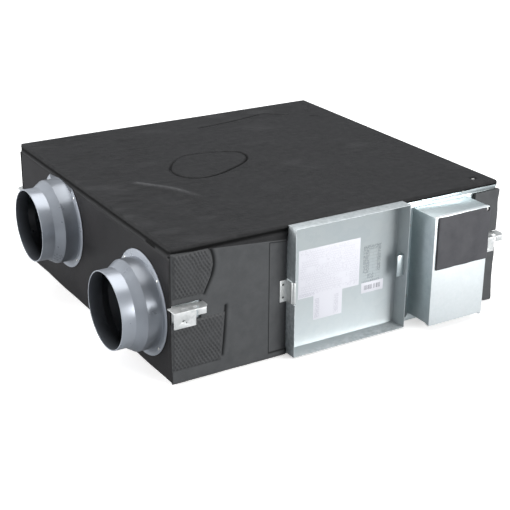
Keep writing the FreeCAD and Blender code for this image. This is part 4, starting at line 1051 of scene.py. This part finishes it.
frontFoam = {
    "voxel": 0.0021,
    "face": -0.407,
    "grooves": (
        ((-0.339, 0.288), (-0.330, 0.272), (-0.326, 0.252), (-0.331, 0.228),
         (-0.349, 0.191)),
        ((-0.299, 0.152), (-0.302, 0.100), (-0.308, 0.042)),
    ),
    "grooveDepth": 0.0026, "grooveWidth": 0.0030, "grooveDark": 0.0034,
    "lip": 0.0006, "lipAway": 0.008, "lipWidth": 0.004,
    "swell": 0.0004, "swellLength": 0.07,
    "lift": 0.24, "liftClear": 0.0008,
    # outline of the thinner window, (x, z)
    "window": ((-0.194, 0.275), (-0.194, 0.015), (-0.1495, 0.015)),
    "windowTop": ((-0.194, 0.275), (-0.1495, 0.275)),
    # widths of the painted shade along the window's outline
    "paintedShadeWidths": {"window": 0.0015, "windowTop": 0.0012},
}


def makeFrontFoam():
    mesh = voxelMesh("front_foam", frontFoam["voxel"])
    points = readPoints(mesh)
    low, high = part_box("front_foam")
    facing = points[:, 1] < frontFoam["face"] + 0.0015
    flat = points[:, [0, 2]]
    height = frontFoam["swell"] * waves(points, frontFoam["swellLength"], 31)
    for corners in frontFoam["grooves"]:
        d = lineDistance(flat, smoothLine(corners))
        height -= frontFoam["grooveDepth"] * groove(d, frontFoam["grooveWidth"])
        height += frontFoam["lip"] * groove(np.abs(d - frontFoam["lipAway"]),
                                            frontFoam["lipWidth"])
    inner = smoothStep(points[:, 0], low.x, low.x + 0.008)
    points[facing, 1] -= (height * inner)[facing]
    raised = smoothStep(points[:, 2], frontFoam["lift"], high.z)
    # painted shade along the gap at the left edge, in the grooves and round the window's outline
    seam = 0.9 * groove(points[:, 0] - low.x, 0.0016)
    for corners in frontFoam["grooves"]:
        seam = np.maximum(seam, groove(lineDistance(flat, smoothLine(corners)),
                                       frontFoam["grooveDark"]))
    for key, width in frontFoam["paintedShadeWidths"].items():
        seam = np.maximum(seam, groove(lineDistance(flat, np.array(frontFoam[key])), width))
    points[:, 2] += raised * (stripLow(points[:, 0]) - high.z + frontFoam["liftClear"])
    writePoints(mesh, points)
    writeShare(mesh, "seam", seam)
    piece = makePiece(mesh, "frontFoam", "casing", materials["frontFoam"],
                      ["front_foam"], smoothAngle=60.0)


quilt = {
    "pitch": 0.0013, "proud": 0.0022, "dimple": 0.0085, "depth": 0.0011, "back": 0.0012,
    "rowShare": 0.62, "sharpness": 0.7, "drift": 0.0009, "driftUp": 0.6,
    "rough": 0.00008, "roughLength": 0.006, "dome": 0.006, "domeLow": 0.25,
    "upper": {"low": (-0.4205, 0.191), "high": (-0.326, 0.2865),
              "right": ((0.191, -0.351), (0.222, -0.336), (0.251, -0.3285), (0.270, -0.332),
                        (0.2865, -0.340))},
    "lower": {"low": (-0.4245, 0.031), "high": (-0.299, 0.1385),
              "right": ((0.031, -0.310), (0.042, -0.3095), (0.100, -0.3045), (0.1385, -0.301))},
}


def quiltPatch(work, patch, seed):
    # a dimpled sheet with its rim turned back into the foam behind
    lowX, lowZ = patch["low"]
    highX, highZ = patch["high"]
    part = bmesh.new()
    bmesh.ops.create_grid(part, x_segments=round((highX - lowX) / quilt["pitch"]),
                          y_segments=round((highZ - lowZ) / quilt["pitch"]), size=0.5)
    bmesh.ops.scale(part, vec=(highX - lowX, highZ - lowZ, 1), verts=part.verts)
    bmesh.ops.rotate(part, cent=(0, 0, 0), matrix=Matrix.Rotation(math.pi / 2, 3, "X"),
                     verts=part.verts)
    bmesh.ops.translate(part, vec=((lowX + highX) / 2, frontFoam["face"],
                                   (lowZ + highZ) / 2), verts=part.verts)
    zs, xs = zip(*patch["right"])
    for v in part.verts:
        right = float(np.interp(v.co.z, zs, xs))
        v.co.x = lowX + (v.co.x - lowX) * (right - lowX) / (highX - lowX)
    part.verts.ensure_lookup_table()
    points = np.array([v.co for v in part.verts])
    along = 2 * math.pi / quilt["dimple"]
    drift = quilt["drift"] * waves(points, 0.04, seed)
    u = (points[:, 0] + drift) * along
    w = (points[:, 2] + drift * quilt["driftUp"]) * along * quilt["rowShare"]
    pattern = np.cos(u) * np.cos(w)
    pattern = np.sign(pattern) * np.abs(pattern) ** quilt["sharpness"]
    deep = quilt["depth"] * (0.75 + 0.2 * waves(points, 0.05, seed + 1)) * pattern
    rough = quilt["rough"] * waves(points, quilt["roughLength"], seed + 2)
    right = np.interp(points[:, 2], zs, xs)
    rimNear = np.minimum.reduce([points[:, 0] - lowX, right - points[:, 0],
                                 points[:, 2] - lowZ, highZ - points[:, 2]])
    dome = smoothStep(rimNear, 0.0, quilt["dome"])
    rise = quilt["domeLow"] + (1.0 - quilt["domeLow"]) * dome
    height = (quilt["proud"] + deep + rough) * rise
    for v, h in zip(part.verts, height):
        v.co.y -= h
    made = bmesh.ops.extrude_edge_only(part, edges=[e for e in part.edges if e.is_boundary])
    for v in made["geom"]:
        if isinstance(v, bmesh.types.BMVert):
            v.co.y = frontFoam["face"] + quilt["back"]
    rim = [e for e in made["geom"] if isinstance(e, bmesh.types.BMEdge)]
    bmesh.ops.edgeloop_fill(part, edges=rim)
    bmesh.ops.recalc_face_normals(part, faces=part.faces)
    mesh = meshFrom(part, "patchPart")
    work.from_mesh(mesh)
    bpy.data.meshes.remove(mesh)


def makeQuilt():
    work = bmesh.new()
    quiltPatch(work, quilt["upper"], 41)
    quiltPatch(work, quilt["lower"], 51)
    piece = makePiece(meshFrom(work, "quiltedFoam"), "quiltedFoam", "casing",
                      materials["quiltFoam"], ["quilted_patches"],
                      smoothAngle=70.0)


makeFrontFoam()
makeQuilt()
print("front foam and quilted patches made")

# round duct collars

collar = {
    "flange": 0.1146, "flangeThick": 0.002, "barrel": 0.0985, "spigot": 0.085,
    "wall": 0.0025, "sleeve": 0.014, "shoulder": 0.035, "coneEnd": 0.0555, "length": 0.086,
    "steps": 112, "round": 0.0009, "trim": 0.2797, "turnAngle": 12.0, "barrelPaintedShade": 0.45,
    "sides": {"exhaust_collar": -1, "outdoor_collar": -1, "supply_collar": 1,
              "return_collar": 1},
}


def makeCollar(node):
    side = collar["sides"][node]
    low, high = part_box(node)
    y, z = (low.y + high.y) / 2, low.z + collar["flange"]
    wide, narrow, wall = collar["barrel"], collar["spigot"], collar["wall"]
    profile = [
        (-collar["sleeve"], wide - wall), (-collar["sleeve"], wide), (0.0, wide),
        (0.0, collar["flange"]), (collar["flangeThick"], collar["flange"]),
        (collar["flangeThick"], wide), (collar["shoulder"], wide),
        (collar["coneEnd"], narrow), (collar["length"], narrow),
        (collar["length"], narrow - wall), (collar["coneEnd"], narrow - wall),
        (collar["shoulder"], wide - wall),
    ]
    work = bmesh.new()
    verts = [work.verts.new((x, 0.0, radius)) for x, radius in profile]
    edges = [work.edges.new((a, b)) for a, b in zip(verts, verts[1:] + verts[:1])]
    bmesh.ops.spin(work, geom=verts + edges, cent=(0, 0, 0), axis=(1, 0, 0),
                   dvec=(0, 0, 0), angle=2 * math.pi, steps=collar["steps"],
                   use_merge=True, use_duplicate=False)
    bmesh.ops.remove_doubles(work, verts=work.verts, dist=1e-6)
    bmesh.ops.recalc_face_normals(work, faces=work.faces)
    # the rings with a turn of the wall are rounded
    rings = [e for e in work.edges
             if abs(e.verts[0].co.x - e.verts[1].co.x) < 1e-6
             and abs(math.hypot(*e.verts[0].co[1:]) - math.hypot(*e.verts[1].co[1:])) < 1e-6
             and e.calc_face_angle(0.0) > math.radians(collar["turnAngle"])]
    bmesh.ops.bevel(work, geom=rings, offset=collar["round"], offset_type="OFFSET", segments=3,
                    profile=0.5, affect="EDGES", clamp_overlap=True, material=-1)
    bmesh.ops.scale(work, vec=(side, 1, 1), verts=work.verts)
    bmesh.ops.translate(work, vec=(side * cadSide, y, z), verts=work.verts)
    # the flange ends below the hanging edge of the top foam
    thin = collar["flangeThick"] + 0.0002
    flange = [f for f in work.faces
              if all(abs(v.co.x) < cadSide + thin and abs(v.co.x) > cadSide - 0.0002
                     and math.hypot(v.co.y - y, v.co.z - z) > wide + collar["round"] + 0.0004
                     for v in f.verts)]
    over = [f for f in flange if any(v.co.z > collar["trim"] for v in f.verts)]
    if over:
        near = {e for f in over for e in f.edges} | {v for f in over for v in f.verts}
        bmesh.ops.bisect_plane(work, geom=over + list(near), plane_co=(0, 0, collar["trim"]),
                               plane_no=(0, 0, 1), clear_outer=True)
        bmesh.ops.holes_fill(work, edges=[e for e in work.edges if e.is_boundary], sides=0)
    bmesh.ops.recalc_face_normals(work, faces=work.faces)
    mesh = meshFrom(work, camel(node))
    # painted shade: the bore is darker than the outside, and the barrel partly darkened too
    points = readPoints(mesh)
    out = np.abs(points[:, 0]) - cadSide
    outside = np.interp(out, (collar["shoulder"], collar["coneEnd"]), (wide, narrow))
    radius = np.linalg.norm(points[:, 1:] - np.array([y, z]), axis=1)
    inner = smoothStep(outside - radius, wall * 0.55, wall * 0.8)
    inner *= 1.0 - smoothStep(out, collar["length"] - 0.0014, collar["length"] - 0.0002)
    barrel = smoothStep(out, collar["flangeThick"], collar["flangeThick"] + 0.002)
    barrel *= 1.0 - smoothStep(out, collar["shoulder"] - 0.001, collar["shoulder"] + 0.002)
    writeShare(mesh, "tone", np.maximum(inner, collar["barrelPaintedShade"] * barrel))
    makePiece(mesh, camel(node), "casing", materials["collar"], [node],
              smoothAngle=24.0)


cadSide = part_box("left_foam")[0].x * -1
for node in collar["sides"]:
    makeCollar(node)
print("collars made")

# exchanger cores: stacked paper plates between two end frames

core = {"plate": 0.0026, "gap": 0.0014, "recess": 0.0018, "frame": 0.008,
        "border": 0.012, "panel": 0.002, "overlap": 0.006, "frameWide": 0.020}


def makeCore(node):
    low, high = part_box(node)
    middle = (low + high) / 2
    half = (high.x - low.x) / 2
    drawnIn = half - core["recess"] * math.sqrt(2)
    # outline along the stack as (place along y, distance from the axis)
    outline = [(low.y, 0.0), (low.y, half), (low.y + core["frame"], half)]
    y = low.y + core["frame"]
    last = high.y - core["frame"]
    while y + core["gap"] + core["plate"] < last - core["gap"]:
        plate = y + core["gap"]
        y = plate + core["plate"]
        outline += [(plate - core["gap"], drawnIn), (plate, drawnIn), (plate, half), (y, half)]
    outline += [(y, drawnIn), (last, drawnIn), (last, half), (high.y, half), (high.y, 0.0)]
    work = bmesh.new()
    verts = [work.verts.new((middle.x + out, y, middle.z)) for y, out in outline]
    edges = [work.edges.new(pair) for pair in zip(verts, verts[1:])]
    bmesh.ops.spin(work, geom=verts + edges, cent=(middle.x, 0, middle.z), axis=(0, 1, 0),
                   dvec=(0, 0, 0), angle=2 * math.pi, steps=4, use_merge=True,
                   use_duplicate=False)
    bmesh.ops.remove_doubles(work, verts=work.verts, dist=1e-6)
    bmesh.ops.recalc_face_normals(work, faces=work.faces)
    for end in (low.y, high.y):
        cap = [f for f in work.faces if all(abs(v.co.y - end) < 1e-6 for v in f.verts)]
        cap = bmesh.ops.dissolve_faces(work, faces=cap)["region"]
        bmesh.ops.inset_region(work, faces=cap, thickness=core["border"], depth=0.0,
                               use_even_offset=True)
        bmesh.ops.inset_region(work, faces=cap, thickness=core["panel"] / 2,
                               depth=-core["panel"], use_even_offset=True)
    mesh = meshFrom(work, camel(node))
    points = readPoints(mesh)
    framed = np.minimum(points[:, 1] - low.y, high.y - points[:, 1]) < core["overlap"]
    framed &= (np.abs(points[:, 0] - middle.x) + np.abs(points[:, 2] - middle.z)
               > half - core["frameWide"])
    writeShare(mesh, "tone", framed)
    makePiece(mesh, camel(node), "casing", materials["paper"], [node])


for node in ("front_core", "rear_core"):
    makeCore(node)
print("exchanger cores made")

# sheet metal and the rest of the rigid pieces

# node: (material, radius of its edges)
roundedNodes = {
    "base_pan": ("steel", 0.0004), "top_panel": ("steel", 0.0004),
    "left_panel": ("steel", 0.0003), "right_panel": ("steel", 0.0003),
    "rear_panel": ("steel", 0.0003), "front_left_panel": ("steel", 0.0004),
    "front_right_panel": ("steel", 0.0004),
    "front_left_hanger": ("bracketSteel", 0.0006), "front_right_hanger": ("bracketSteel", 0.0006),
    "rear_left_hanger": ("bracketSteel", 0.0006), "rear_right_hanger": ("bracketSteel", 0.0006),
    "maintenance_cover": ("cover", 0.0004), "hinge_bracket": ("bracketSteel", 0.0005),
    "cover_catch": ("steel", 0.0005), "cover_labels": ("label", 0.00006),
    "control_box": ("steel", 0.0004), "control_box_lid": ("lidSteel", 0.0004),
    "core_end_plate": ("steel", 0.0004), "damper_frame": ("steel", 0.0004),
    "casing_screws": ("zinc", 0.0003), "collar_screws": ("zinc", 0.0003),
    "hinge_pin": ("zinc", 0.0004), "circuit_board": ("board", 0.0003),
    "terminal_block": ("white", 0.0006), "damper_motor": ("white", 0.0012),
    "outdoor_filter": ("fleece", 0.0015), "return_filter": ("fleece", 0.0015),
    "damper_flap": ("fanPlastic", 0.0006),
}

# CAD nodes that keep their own mesh
keptNodes = {
    "cable_grommet": "rubber", "bottom_rail": "aluminium", "right_rail": "aluminium",
    "top_rail": "aluminium", "left_rail": "aluminium", "left_partition": "chamber",
    "right_partition": "chamber", "exhaust_scroll": "chamber", "supply_scroll": "chamber",
    "exhaust_impeller": "fanPlastic", "supply_impeller": "fanPlastic",
    "exhaust_motor": "motor", "supply_motor": "motor", "exhaust_shaft": "shaft",
    "supply_shaft": "shaft", "damper_shaft": "shaft", "fan_legs": "steel",
}

for node, (finish, radius) in roundedNodes.items():
    roundedNode(node, materials[finish], radius)
for node, finish in keptNodes.items():
    nodes[node].data.materials.clear()
    nodes[node].data.materials.append(materials[finish])
print("rigid pieces finished")
